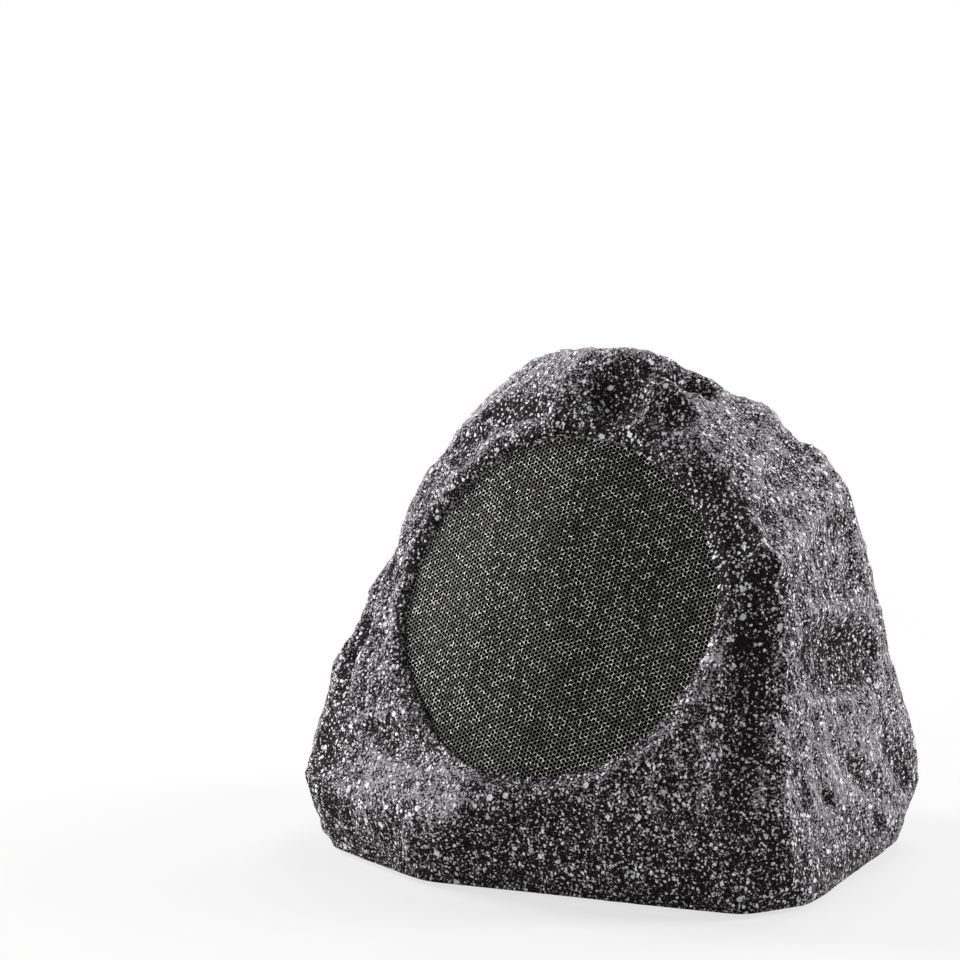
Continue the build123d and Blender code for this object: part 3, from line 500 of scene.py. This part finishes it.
# more pale coat on faces turned to the lamps: painted light
paintedLightAndDust = sum(share * np.maximum(facing @ unit(np.array(way, float)), 0) for way, share in rock["paintedLightWays"])
for start, end, radius, change in rock["paintedShadeAndLightTouches"]:
    paintedLightAndDust += change * np.exp(-(stretchDistance(outer, start, end) / radius) ** 2)
sunk = np.clip(facetReach(outerWays) - outerReach - dabs, 0, rock["shadeDepth"])
behind = np.clip(outerWays[..., 1] / rock["behindAt"], 0, 1)
shade = rock["hollowShade"] * (1 - (1 - rock["shadeBehind"]) * behind)
# ridges painted paler and creases darker: painted light and shade
ridgeLightCreaseShade = rock["ridgeLightShare"] * np.clip(proud / rock["ridgeHeight"], -1, 1)
# paler coat where light falls and less where shade falls: painted light and shade with the dust coat
dustLightAndShade = np.clip(paintedLightAndDust + ridgeLightCreaseShade - shade * sunk, 0, 1)
insideBrush = np.full((len(rockGrid) - len(outer), rock["columns"]), rock["insideShare"])
dustLightAndShade = np.concatenate([dustLightAndShade, insideBrush])
print("rock worked out:", len(rockQuads) * 2, "triangles")


# Granite-effect paint: charcoal under a grainy pale dust coat, then droplets of pale grey in several
# sizes, each the core of a Voronoi cell; the matt paint leaves a grainy, low-gloss skin
paint = {
    "charcoal": ("#030303", "#2e2a2d"), "grit": (0.36, 0.66), "dust": ("#857f83", "#a39fa3"),
    "warpSize": 1.5, "warpReach": 0.8, "speckSize": 0.95, "patchSize": 9.0, "patchiness": 0.4,
    # where the dust starts to cover grains: by specks, grain and striae in these shares, from bare to fully
    # covered as the attribute of dust with painted light rises, over a soft edge
    "catch": (0.6, 0.2, 0.2), "bareAt": 0.61, "coveredAt": 0.432, "dustEdge": 0.055,
    # droplets: cell in mm, share of cells that hold one, least and greatest radius in cells, colour, edge,
    # and for runs, how many times longer than wide
    "droplets": [
        {"cell": 1.4, "share": 0.58, "least": 0.20, "most": 0.52, "tint": "#dcdadd", "edge": 0.14},
        {"cell": 2.1, "share": 0.54, "least": 0.14, "most": 0.46, "tint": "#fbfafc", "edge": 0.08},
        {"cell": 5.0, "share": 0.36, "least": 0.12, "most": 0.33, "tint": "#f0f1f5", "edge": 0.04},
        {"cell": 2.0, "share": 0.50, "least": 0.10, "most": 0.28, "tint": "#fbfbfd", "edge": 0.05,
         "stretch": 4.0},
    ],
    "dropletTurn": (0.6, 0.3, 0.9), "dropletFade": (0.55, 1.0),
    "striaSize": 2.4, "striaTurn": (0.15, 0.2, 0.0), "striaDraw": 0.35, "striaHeight": 1.6,
    "grainSize": 1.1, "grainHeight": 1.1, "coarseSize": 4.2, "coarseHeight": 2.0,
    "rough": (0.62, 0.85), "gloss": 0.05,
}


# Colour after each layer of droplets is laid over the one before
def dropletColour(tree, place, under, layers):
    for layer in layers:
        squeeze = (1, 1, 1 / layer.get("stretch", 1.0))
        laid = addNode(tree, "Mapping", {"Vector": place, "Rotation": paint["dropletTurn"], "Scale": squeeze})
        cells = addNode(tree, "TexVoronoi", {"Vector": laid.outputs[0], "Scale": 1 / (layer["cell"] * mm)})
        held, size, strength = addNode(tree, "SeparateColor", {"Color": cells.outputs["Color"]}).outputs
        radius = rangeOf(tree, size, wanted=(layer["least"], layer["most"]))
        core = mathOf(tree, "SUBTRACT", radius, layer["edge"])
        spot = rangeOf(tree, cells.outputs["Distance"], given=(radius, core), kind="SMOOTHSTEP")
        cover = mathOf(tree, "MULTIPLY", spot, mathOf(tree, "LESS_THAN", held, layer["share"]))
        amount = mathOf(tree, "MULTIPLY", cover, rangeOf(tree, strength, wanted=paint["dropletFade"]))
        under = mixOf(tree, amount, under, layer["tint"])
    return under


# Object coordinates pushed about by noise, so that droplets come out ragged
def warpedPlace(tree, size, reach):
    place = addNode(tree, "TexCoord").outputs["Object"]
    push = addNode(tree, "TexNoise", {"Vector": place, "Scale": 1 / (size * mm), "Detail": 1.0})
    middle = (0.5, 0.5, 0.5)
    centred = addNode(tree, "VectorMath", {0: push.outputs["Color"], 1: middle}, operation="SUBTRACT")
    scaled = addNode(tree, "VectorMath", {0: centred.outputs[0], "Scale": 2 * reach * mm}, operation="SCALE")
    return place, addNode(tree, "VectorMath", {0: place, 1: scaled.outputs[0]}, operation="ADD").outputs[0]


# Sum of sockets, each times its weight
def weighedSum(tree, parts):
    total = 0.0
    for socket, weight in parts:
        total = addNode(tree, "Math", {0: socket, 1: weight, 2: total}, operation="MULTIPLY_ADD").outputs[0]
    return total


# Moulded glass-fibre resin under granite-effect paint: the pale dust coat catches on the high grains and
# striae, most on faces turned to the lamps, which paints light and shade into the colour, and leaves the pits
# bare
def speckledResin():
    material, tree, shader = newMaterial("speckledGraniteResin")
    place, warped = warpedPlace(tree, paint["warpSize"], paint["warpReach"])
    drawn = addNode(tree, "Mapping", {
        "Vector": place, "Rotation": paint["striaTurn"], "Scale": (1, 1, paint["striaDraw"]),
    })
    specks, grain, coarse, patches = (noiseOf(tree, place, paint[name + "Size"], 2.0)
                                      for name in ("speck", "grain", "coarse", "patch"))
    striae = noiseOf(tree, drawn.outputs[0], paint["striaSize"], 3.0)
    # amount of pale coat, with painted light and shade from the lit sides, ridges and hollows
    dustLightAndShadeValue = addNode(tree, "Attribute", attribute_name="dustLightAndShade").outputs["Fac"]
    dusty = weighedSum(tree, [(dustLightAndShadeValue, 1.0), (patches, paint["patchiness"])])
    least = paint["patchiness"] / 2
    edge = rangeOf(tree, dusty, given=(least, 1 + least), wanted=(paint["bareAt"], paint["coveredAt"]))
    caught = weighedSum(tree, zip((specks, grain, striae), paint["catch"]))
    full = mathOf(tree, "ADD", edge, paint["dustEdge"])
    # cover of the pale coat: dust grains, and painted light and shade through the attribute
    dust = rangeOf(tree, caught, given=(edge, full), kind="SMOOTHSTEP")
    charcoal = mixOf(tree, rangeOf(tree, specks, given=paint["grit"]), *paint["charcoal"])
    ground = mixOf(tree, dust, charcoal, mixOf(tree, patches, *paint["dust"]))
    height = weighedSum(tree, [
        (coarse, paint["coarseHeight"]), (striae, paint["striaHeight"]), (grain, paint["grainHeight"]),
    ])
    bump = addNode(tree, "Bump", {"Height": height, "Distance": mm, "Strength": 1.0})
    setInputs(tree, shader, {
        "Base Color": dropletColour(tree, warped, ground, paint["droplets"]), "Normal": bump.outputs[0],
        "Roughness": rangeOf(tree, grain, wanted=paint["rough"]), "Specular IOR Level": paint["gloss"],
    })
    return material


rockSkin = newPiece("rockSkin", rockGrid, rockQuads.tolist(), speckledResin())
# the pale coat's amount with its painted light and shade, stored on the points
dustLightAndShadeLayer = rockSkin.data.attributes.new("dustLightAndShade", "FLOAT", "POINT")
dustLightAndShadeLayer.data.foreach_set("value", dustLightAndShade.reshape(-1))
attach(rockSkin, "cabinet")
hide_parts("rock_shell")
print("rock skin made")


# Grille: steel sheet punched in a close hexagonal pattern, bent along the rock's front edge
grille = {
    "radius": 83.5, "edgeRound": 0.5, "sheet": 1.2, "pitch": 2.0, "holeWidth": 1.64, "rowTurn": 28.5,
    "border": 1.55, "sink": 3.0, "bend": 10.3, "rimSteps": 480, "latticeSteps": 60,
    "ripple": 0.4, "rippleSize": 26.0, "rippleDraw": 0.25, "rippleSeed": 31,
    # skirt: its top below the sheet's front, its foot above the seat
    "skirtTop": 0.7, "skirtFoot": 0.05,
}


# Height of the sheet above the seat: the smooth lesser of the two sunk front facets, with a slight ripple
def sheetHeight(flat):
    heights = []
    for name in ("front", "frontLeft"):
        index = list(rock["facets"]).index(name)
        tilts = seatAxes @ facetWays[index]
        start = facetTable[index, 2] - grille["sink"] - facetWays[index] @ (seatOrigin - hub)
        heights.append((start - flat @ tilts[:2]) / tilts[2])
    share = np.clip(0.5 + (heights[1] - heights[0]) / (2 * grille["bend"]), 0, 1)
    bent = heights[1] + (heights[0] - heights[1]) * share - grille["bend"] * share * (1 - share)
    drawn = np.column_stack([flat * (1, grille["rippleDraw"]), 0 * flat[:, 0]])
    return bent + grille["ripple"] * gradientNoise(drawn, grille["rippleSize"], grille["rippleSeed"])


# Holes: hexagons on a lattice of the pitch, turned; the web between them is triangulated flat and
# lifted on to the bent sheet, once for its front and once for its back
steps = np.arange(-grille["latticeSteps"], grille["latticeSteps"] + 1)
latticeColumn, latticeRow = np.meshgrid(steps, steps)
lattice = np.stack([latticeColumn + latticeRow / 2, latticeRow * math.sqrt(3) / 2], -1).reshape(-1, 2)
rowTurn = math.radians(grille["rowTurn"])
turned = np.array([[math.cos(rowTurn), math.sin(rowTurn)], [-math.sin(rowTurn), math.cos(rowTurn)]])
lattice = grille["pitch"] * lattice @ turned
lattice = lattice[np.linalg.norm(lattice, axis=-1) < grille["radius"] - grille["border"]]
cornerTurn = rowTurn + np.radians(30 + 60 * np.arange(6))
holeCorners = grille["holeWidth"] / math.sqrt(3) * np.stack([np.cos(cornerTurn), np.sin(cornerTurn)], -1)
holes = (lattice[:, None] + holeCorners).reshape(-1, 2)
rimTurn = np.linspace(0, 2 * math.pi, grille["rimSteps"], endpoint=False)
rimCircle = np.stack([np.cos(rimTurn), np.sin(rimTurn)], -1)
web = np.concatenate([holes, rimCircle * (grille["radius"] - grille["edgeRound"])])
holeCount, webCount = len(holes), len(web)
holeEdges = np.arange(holeCount).reshape(-1, 6)
holeEdges = np.stack([holeEdges, np.roll(holeEdges, -1, axis=1)], -1).reshape(-1, 2)
rimLoop = np.arange(holeCount, webCount)
rimEdges = np.stack([rimLoop, np.roll(rimLoop, -1)], -1)
webEdges = np.concatenate([holeEdges, rimEdges]).tolist()
webFaces = np.array(delaunay_2d_cdt(list(map(Vector, web.tolist())), webEdges, [], 1, 1e-5)[2])
inHole = np.where(webFaces < holeCount, webFaces // 6, -1 - webFaces)
webFaces = webFaces[~((inHole[:, 0] == inHole[:, 1]) & (inHole[:, 1] == inHole[:, 2]))]
front = np.column_stack([web, sheetHeight(web)])
back = front - np.array([0, 0, grille["sheet"]])
skirtEdge = rimCircle * grille["radius"]
skirtFoot = np.full(grille["rimSteps"], grille["skirtFoot"])
skirt = [np.column_stack([skirtEdge, sheetHeight(skirtEdge) - grille["skirtTop"]]),
         np.column_stack([skirtEdge, skirtFoot]),
         np.column_stack([rimCircle * (grille["radius"] - grille["sheet"]), skirtFoot])]
grillePoints = seatOrigin + np.concatenate([front, back, *skirt]) @ seatAxes
skirtLoops = 2 * webCount + np.arange(len(skirt) * grille["rimSteps"]).reshape(len(skirt), -1)
loops = [rimLoop, *skirtLoops, rimLoop + webCount]
skirtQuads = [np.stack([np.roll(a, -1), a, b, np.roll(b, -1)], -1) for a, b in zip(loops, loops[1:])]
holeQuads = np.concatenate([holeEdges, holeEdges[:, ::-1] + webCount], axis=1)
grilleFaces = (webFaces.tolist() + (webFaces[:, ::-1] + webCount).tolist()
               + holeQuads.tolist() + np.concatenate(skirtQuads).tolist())


# Paint of the grille: grey in upright bands of painted reflection and shade, flecks in the terms of the
# rock's droplets, sizes in mm
steel = {
    "tints": ("#4e4e4d", "#747371"), "reflectionBandSize": 15.0, "reflectionBandDraw": 0.25, "reflectionBandRange": (0.3, 0.7),
    "warpSize": 1.6, "warpReach": 0.4,
    "flecks": [
        {"cell": 1.2, "share": 0.6, "least": 0.25, "most": 0.6, "tint": "#c2c2c0", "edge": 0.12},
        {"cell": 1.8, "share": 0.62, "least": 0.24, "most": 0.58, "tint": "#ffffff", "edge": 0.08},
    ],
    "coatSize": 0.5, "coatHeight": 0.05, "coatStrength": 0.8, "rough": (0.42, 0.6), "gloss": 0.08,
    "plainTints": ("#020202", "#0a0a0a"), "plainRough": (0.6, 0.8),
}


# Powder-coated steel, flecked with the same pale paint as the rock: dark grey bands of painted reflection
# and shade under droplets that the holes break up
def fleckedSteel():
    material, tree, shader = newMaterial("fleckedPowderCoatSteel")
    place, warped = warpedPlace(tree, steel["warpSize"], steel["warpReach"])
    drawn = addNode(tree, "Mapping", {"Vector": place, "Scale": (1, steel["reflectionBandDraw"], steel["reflectionBandDraw"])})
    # upright bands of lighter and darker grey: painted reflection and shade
    bands = noiseOf(tree, drawn.outputs[0], steel["reflectionBandSize"], 1.0)
    ground = mixOf(tree, rangeOf(tree, bands, given=steel["reflectionBandRange"]), *steel["tints"])
    coat = noiseOf(tree, place, steel["coatSize"], 1.0)
    bump = addNode(tree, "Bump", {
        "Height": coat, "Distance": steel["coatHeight"] * mm, "Strength": steel["coatStrength"],
    })
    setInputs(tree, shader, {
        "Base Color": dropletColour(tree, warped, ground, steel["flecks"]), "Normal": bump.outputs[0],
        "Roughness": rangeOf(tree, coat, wanted=steel["rough"]), "Specular IOR Level": steel["gloss"],
    })
    return material


# Powder-coated steel where the flecks did not reach: near black, mottled as finely as the coat
def plainSteel():
    material, tree, shader = newMaterial("blackPowderCoatSteel")
    coat = noiseOf(tree, addNode(tree, "TexCoord").outputs["Object"], steel["coatSize"], 1.0)
    setInputs(tree, shader, {
        "Base Color": mixOf(tree, coat, *steel["plainTints"]),
        "Roughness": rangeOf(tree, coat, wanted=steel["plainRough"]), "Specular IOR Level": steel["gloss"],
    })
    return material


grilleSheet = newPiece("grilleSheet", grillePoints, grilleFaces, fleckedSteel(), smooth=False)
grilleSheet.data.materials.append(plainSteel())
unflecked = np.arange(len(grilleFaces)) >= len(webFaces)  # the back, the holes' walls and the skirt
grilleSheet.data.polygons.foreach_set("material_index", unflecked.astype(np.int32))
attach(grilleSheet, "cabinet")
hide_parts("speaker_grille")
print("grille made:", len(lattice), "holes,", len(grilleFaces), "faces")

# Finishes inside: two colours, size and height of the grain in millimetres, roughness from smooth to
# rough, the nodes that wear it, and what is special to it; the suspension made below wears two of them
innerFinishes = {
    # woven polyester scrim, dyed black: no gloss, a fine plain weave
    "blackScrimCloth": (("#040404", "#0b0b0b"), 0.8, 0.1, (0.9, 1.0),
        ["grille_scrim"], {"pattern": "weave", "gloss": 0.0}),
    # pressed steel, black electrophoretic coat: smooth with a faint orange peel
    "coatedPressedSteel": (("#141414", "#1f1f20"), 1.2, 0.02, (0.3, 0.45), ["driver_basket"], {}),
    # die-cut closed-cell foam: matt, pitted
    "closedCellFoam": (("#1a1a1b", "#29292a"), 0.9, 0.15, (0.85, 1.0), ["driver_gasket", "base_gasket"], {}),
    # butyl rubber half roll: dull, slightly dusty
    "butylRubber": (("#111111", "#1d1c1b"), 1.6, 0.03, (0.55, 0.7), ["woofer_surround"], {}),
    # treated paper pulp: grey-black with short fibres
    "pulpPaper": (("#1d1c1b", "#383633"), 1.1, 0.08, (0.75, 0.95), ["woofer_cone"], {}),
    # phenolic-stiffened cotton: straw yellow plain weave
    "phenolicCotton": (("#a8843e", "#caa75b"), 0.9, 0.12, (0.75, 0.9),
        ["woofer_spider"], {"pattern": "weave"}),
    # brown polyimide film tube: smooth and satin
    "polyimideFilm": (("#7a4a1c", "#93602a"), 2.5, 0.01, (0.3, 0.42), ["voice_coil_former"], {}),
    # enamelled copper wire, close wound: fine turns along the coil's axis
    "enamelledCopper": (("#8a4a24", "#c77a45"), 0.6, 0.15, (0.25, 0.4),
        ["voice_coil_winding", "crossover_coil"], {"pattern": "turns", "metal": 1.0}),
    # zinc-plated low-carbon steel: turned faces with faint rings
    "zincPlatedSteel": (("#9a9c9e", "#b9bbbd"), 0.7, 0.02, (0.28, 0.4),
        ["top_plate", "pole_yoke", "tweeter_post"], {"pattern": "rings", "metal": 1.0}),
    # sintered ferrite: dark grey, fine grained
    "sinteredFerrite": (("#2c2c2e", "#3d3d40"), 0.8, 0.04, (0.55, 0.75),
        ["ring_magnet", "tweeter_magnet"], {}),
    # moulded ABS: black satin with a fine spark texture
    "mouldedAbs": (("#151515", "#222223"), 0.7, 0.05, (0.42, 0.55),
        ["tweeter_housing", "tweeter_faceplate"], {}),
    # coated silk dome: dark grey fine weave with a soft sheen
    "coatedSilk": (("#26262a", "#38383d"), 0.7, 0.05, (0.45, 0.6), ["tweeter_dome"], {"pattern": "weave"}),
    # phenolic paper board with tinned tabs: brown
    "phenolicBoard": (("#5b3a1d", "#744b27"), 1.4, 0.02, (0.5, 0.65), ["driver_terminals"], {}),
    # black-oxide screw steel: dark, a little polished on the heads
    "blackOxideSteel": (("#1e1e20", "#34353a"), 0.6, 0.02, (0.3, 0.45),
        ["driver_screws", "base_screws", "board_screws"], {"metal": 1.0}),
    # moulded polypropylene base: black, coarse spark-eroded texture
    "mouldedPolypropylene": (("#191919", "#272727"), 1.3, 0.12, (0.55, 0.72), ["base_plate"], {}),
    # moulded neoprene: matt black with scuffs
    "mouldedNeoprene": (("#131313", "#2a2a29"), 2.0, 0.06, (0.7, 0.9), ["rubber_feet", "cable_grommet"], {}),
    # glass-epoxy laminate under green solder mask: a faint weave
    "glassEpoxyLaminate": (("#12452a", "#1c5a38"), 1.0, 0.02, (0.3, 0.42),
        ["crossover_board"], {"pattern": "weave"}),
    # polyester film capacitor in a yellow wrap
    "polyesterFilm": (("#c99a1e", "#dcb03a"), 3.0, 0.02, (0.3, 0.42), ["crossover_capacitor"], {}),
    # white cement wirewound resistor: chalky, fine pores
    "wirewoundCement": (("#cfccc2", "#e2dfd6"), 0.8, 0.06, (0.8, 0.95), ["crossover_resistor"], {}),
    # moulded nylon terminal block: grey-green satin
    "mouldedNylon": (("#3b5a4a", "#486a58"), 1.2, 0.03, (0.4, 0.55), ["input_terminals"], {}),
}


# Grain for one finish, about the driver's axis: noise, or a weave (the greater of two bands), or
# turns (bands along the axis), or rings about it
def grainHeight(tree, place, size, pattern):
    if pattern == "noise":
        return noiseOf(tree, place, size, 3.0)
    # a wave texture repeats every 2 pi / 20 of its scaled length
    bands = {"Vector": place, "Scale": 1 / (size * mm) * math.pi / 10}
    if pattern == "turns":
        return addNode(tree, "TexWave", bands, bands_direction="Z").outputs["Fac"]
    if pattern == "rings":
        rings = {"wave_type": "RINGS", "rings_direction": "Z"}
        return addNode(tree, "TexWave", {**bands, "Distortion": 1.0}, **rings).outputs["Fac"]
    warp, weft = (addNode(tree, "TexWave", {**bands, "Distortion": 0.4}, bands_direction=way).outputs["Fac"]
                  for way in "XY")
    return mathOf(tree, "MAXIMUM", warp, weft)


# Mottling that all of them share: size of the clouds in millimetres, and the part of their range used
mottling = {"size": 14.0, "range": (0.1, 0.5)}
seatTurn = Matrix(seatAxes.tolist()).to_euler()
seatShift = (-(seatAxes @ seatOrigin) * mm).tolist()
for name, (tints, grain, height, rough, wearers, special) in innerFinishes.items():
    material, tree, shader = newMaterial(name)
    place = addNode(tree, "TexCoord").outputs["Object"]
    place = addNode(tree, "Mapping", {
        "Vector": place, "Location": seatShift, "Rotation": seatTurn,
    }).outputs[0]
    texture = grainHeight(tree, place, grain, special.get("pattern", "noise"))
    clouds = mathOf(tree, "MULTIPLY", texture, noiseOf(tree, place, mottling["size"], 2.0))
    bump = addNode(tree, "Bump", {"Height": texture, "Distance": height * mm})
    setInputs(tree, shader, {
        "Base Color": mixOf(tree, rangeOf(tree, clouds, given=mottling["range"]), *tints),
        "Roughness": rangeOf(tree, texture, wanted=rough), "Normal": bump.outputs[0],
        "Metallic": special.get("metal", 0.0), "Specular IOR Level": special.get("gloss", 0.5),
    })
    for wearer in wearers:
        nodes[wearer].data.materials.clear()
        nodes[wearer].data.materials.append(material)
print("inner finishes:", len(innerFinishes))

# Suspension: each ring is a profile carried about the driver's axis, its middle line moved half the
# thickness to both sides. It bends between the basket and the cone, and a bend runs along one straight
# line, so the ring is cut into equal sectors, each about its own spoke, which meet at the cuts
suspension = {
    "columns": 13,
    "surroundRoll": {"node": "woofer_surround", "slot": "surround_rubber", "finish": "butylRubber",
                     "bore": 43.7, "rim": 58.7, "seat": 4.7, "thickness": 0.8, "samples": 61,
                     "middle": 51.2, "rollRadius": 4.5, "archPower": 2.4, "lipSoftness": 0.25,
                     "moving": 46.8, "still": 54.4, "sectors": 16},
    "corrugatedSpider": {"node": "woofer_spider", "slot": "spider_cloth", "finish": "phenolicCotton",
                         "bore": 13.6, "rim": 34.0, "seat": -19.8, "thickness": 0.6, "samples": 81,
                         "waves": 4, "waveHeight": 1.6, "lip": 4.0,
                         "moving": 14.4, "still": 27.6, "sectors": 8},
}


# Middle line of the roll: the soft greater of the flat lips and an arch, height · (1 − |x / height|^power)
def rollLine(radius, ring):
    height = ring["rollRadius"] - ring["thickness"] / 2
    arch = height * (1 - np.abs((radius - ring["middle"]) / height) ** ring["archPower"])
    soft = ring["lipSoftness"]
    return ring["seat"] + ring["thickness"] / 2 + soft * np.logaddexp(0, arch / soft)


# Middle line of the spider: whole cosine waves from its bore to its flat lip
def waveLine(radius, ring):
    along = np.clip((radius - ring["bore"]) / (ring["rim"] - ring["lip"] - ring["bore"]), 0, 1)
    wave = (1 - np.cos(2 * math.pi * ring["waves"] * along)) / 2
    return ring["seat"] + ring["thickness"] / 2 + ring["waveHeight"] * wave


for name, lineOf in (("surroundRoll", rollLine), ("corrugatedSpider", waveLine)):
    ring = suspension[name]
    radius = np.linspace(ring["bore"], ring["rim"], ring["samples"])
    line = np.stack([radius, lineOf(radius, ring)], -1)
    run = unit(np.gradient(line, axis=0))
    side = np.stack([-run[:, 1], run[:, 0]], -1) * ring["thickness"] / 2
    loop = np.concatenate([line + side, (line - side)[::-1]])
    loop[:, 0] = np.clip(loop[:, 0], ring["bore"], ring["rim"])
    halfSector = math.pi / ring["sectors"]
    for sector in range(ring["sectors"]):
        middle = 2 * halfSector * sector
        turns = np.linspace(middle - halfSector, middle + halfSector, suspension["columns"])
        spokes = np.stack([np.cos(turns), np.sin(turns)], -1)
        local = np.concatenate([spokes[:, None] * loop[:, :1],
                                np.broadcast_to(loop[:, 1:], (len(turns), len(loop), 1))], -1)
        points = seatOrigin + local @ seatAxes
        near = np.arange(ring["samples"] - 1)
        far = len(loop) - 1 - near
        firstCap = np.stack([near, far, far - 1, near + 1], -1)
        lastCap = firstCap[:, ::-1] + (len(turns) - 1) * len(loop)
        quads = np.concatenate([ringQuads(len(turns), len(loop)), firstCap, lastCap])
        if quadVolume(points, quads) < 0:
            quads = quads[:, ::-1]
        piece = newPiece(f"{name}{sector + 1}", points, quads.tolist(), bpy.data.materials[ring["finish"]])
        # the two caps stay flat and their edges sharp, so that neighbouring sectors shade as one ring
        piece.data.polygons.foreach_set("use_smooth", np.arange(len(quads)) < len(quads) - 2 * len(near))
        ends = np.zeros(2 * len(piece.data.edges), np.int32)
        piece.data.edges.foreach_get("vertices", ends)
        column = ends.reshape(-1, 2) // len(loop)
        atCut = (column[:, 0] == column[:, 1]) & (column[:, 0] % (len(turns) - 1) == 0)
        piece.data.edges.foreach_set("use_edge_sharp", atCut)
        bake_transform(piece)
        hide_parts(ring["node"])
    print(name, "made in", ring["sectors"], "sectors")

# Floor and light: pale paper, soft boxes at both sides, above behind, and in front at the left
studio = {
    "floorReach": 9.0, "floorDrop": 0.3, "floorTint": "#c4c4c3", "floorRough": 0.9,
    "lamps": [
        {"name": "leftSoftbox", "place": (-1.15, 0.05, 0.60), "size": (0.4, 0.5), "power": 19.0},
        {"name": "rightSoftbox", "place": (1.10, 0.50, 0.65), "size": (0.4, 0.5), "power": 17.0},
        {"name": "topSoftbox", "place": (0.05, 0.75, 1.25), "size": (0.6, 0.5), "power": 11.0},
        {"name": "frontSoftbox", "place": (-1.10, -1.20, 0.55), "size": (0.7, 0.7), "power": 12.0},
    ],
    "ambient": 0.12, "nearGlow": 0.7, "glowStart": 0.25, "glowEnd": 0.75,
}


# 1 for the rays by which a surface is seen, straight, mirrored or through something clear, 0 for others
def seenRay(tree):
    path = addNode(tree, "LightPath").outputs
    direct = mathOf(tree, "MAXIMUM", path["Is Camera Ray"], path["Is Transmission Ray"])
    return mathOf(tree, "MAXIMUM", direct, path["Is Glossy Ray"])


floorMaterial, floorTree, floorShader = newMaterial("palePaperFloor")
setInputs(floorTree, floorShader, {
    "Base Color": colour(studio["floorTint"]), "Roughness": studio["floorRough"],
})
glow = addNode(floorTree, "Emission", {"Color": (1, 1, 1, 1), "Strength": 1.0})
floorPlace = addNode(floorTree, "TexCoord").outputs["Object"]
away = addNode(floorTree, "VectorMath", {0: floorPlace}, operation="LENGTH").outputs["Value"]
bright = rangeOf(floorTree, away, given=(studio["glowStart"], studio["glowEnd"]),
                 wanted=(studio["nearGlow"], 1.0), kind="SMOOTHSTEP")
seen = mathOf(floorTree, "MULTIPLY", seenRay(floorTree), bright)
mixed = addNode(floorTree, "MixShader", {0: seen, 1: floorShader.outputs[0], 2: glow.outputs[0]})
setInputs(floorTree, floorTree.nodes["Material Output"], {"Surface": mixed.outputs[0]})
floorCorners = np.array([[-1, -1, 0], [1, -1, 0], [1, 1, 0], [-1, 1, 0]], float) * studio["floorReach"] / mm
floorCorners[:, 2] = -studio["floorDrop"]
floor = newPiece("paperFloor", floorCorners, [(0, 1, 2, 3)], floorMaterial)
for lamp in studio["lamps"]:
    lampData = bpy.data.lights.new(lamp["name"], "AREA")
    lampData.shape = "RECTANGLE"
    lampData.size, lampData.size_y = lamp["size"]
    lampData.energy = lamp["power"]
    lampObject = bpy.data.objects.new(lamp["name"], lampData)
    lampObject.location = lamp["place"]
    lampObject.rotation_euler = (aimPoint - Vector(lamp["place"])).to_track_quat("-Z", "Y").to_euler()
    bpy.context.scene.collection.objects.link(lampObject)
world = bpy.data.worlds.new("paleStudio")
bpy.context.scene.world = world
world.use_nodes = True
worldTree = world.node_tree
setInputs(worldTree, worldTree.nodes["Background"], {
    "Color": (1, 1, 1, 1),
    "Strength": rangeOf(worldTree, seenRay(worldTree), wanted=(studio["ambient"], 1.0)),
})
bpy.context.scene.view_settings.view_transform = "Standard"
print("studio lit")
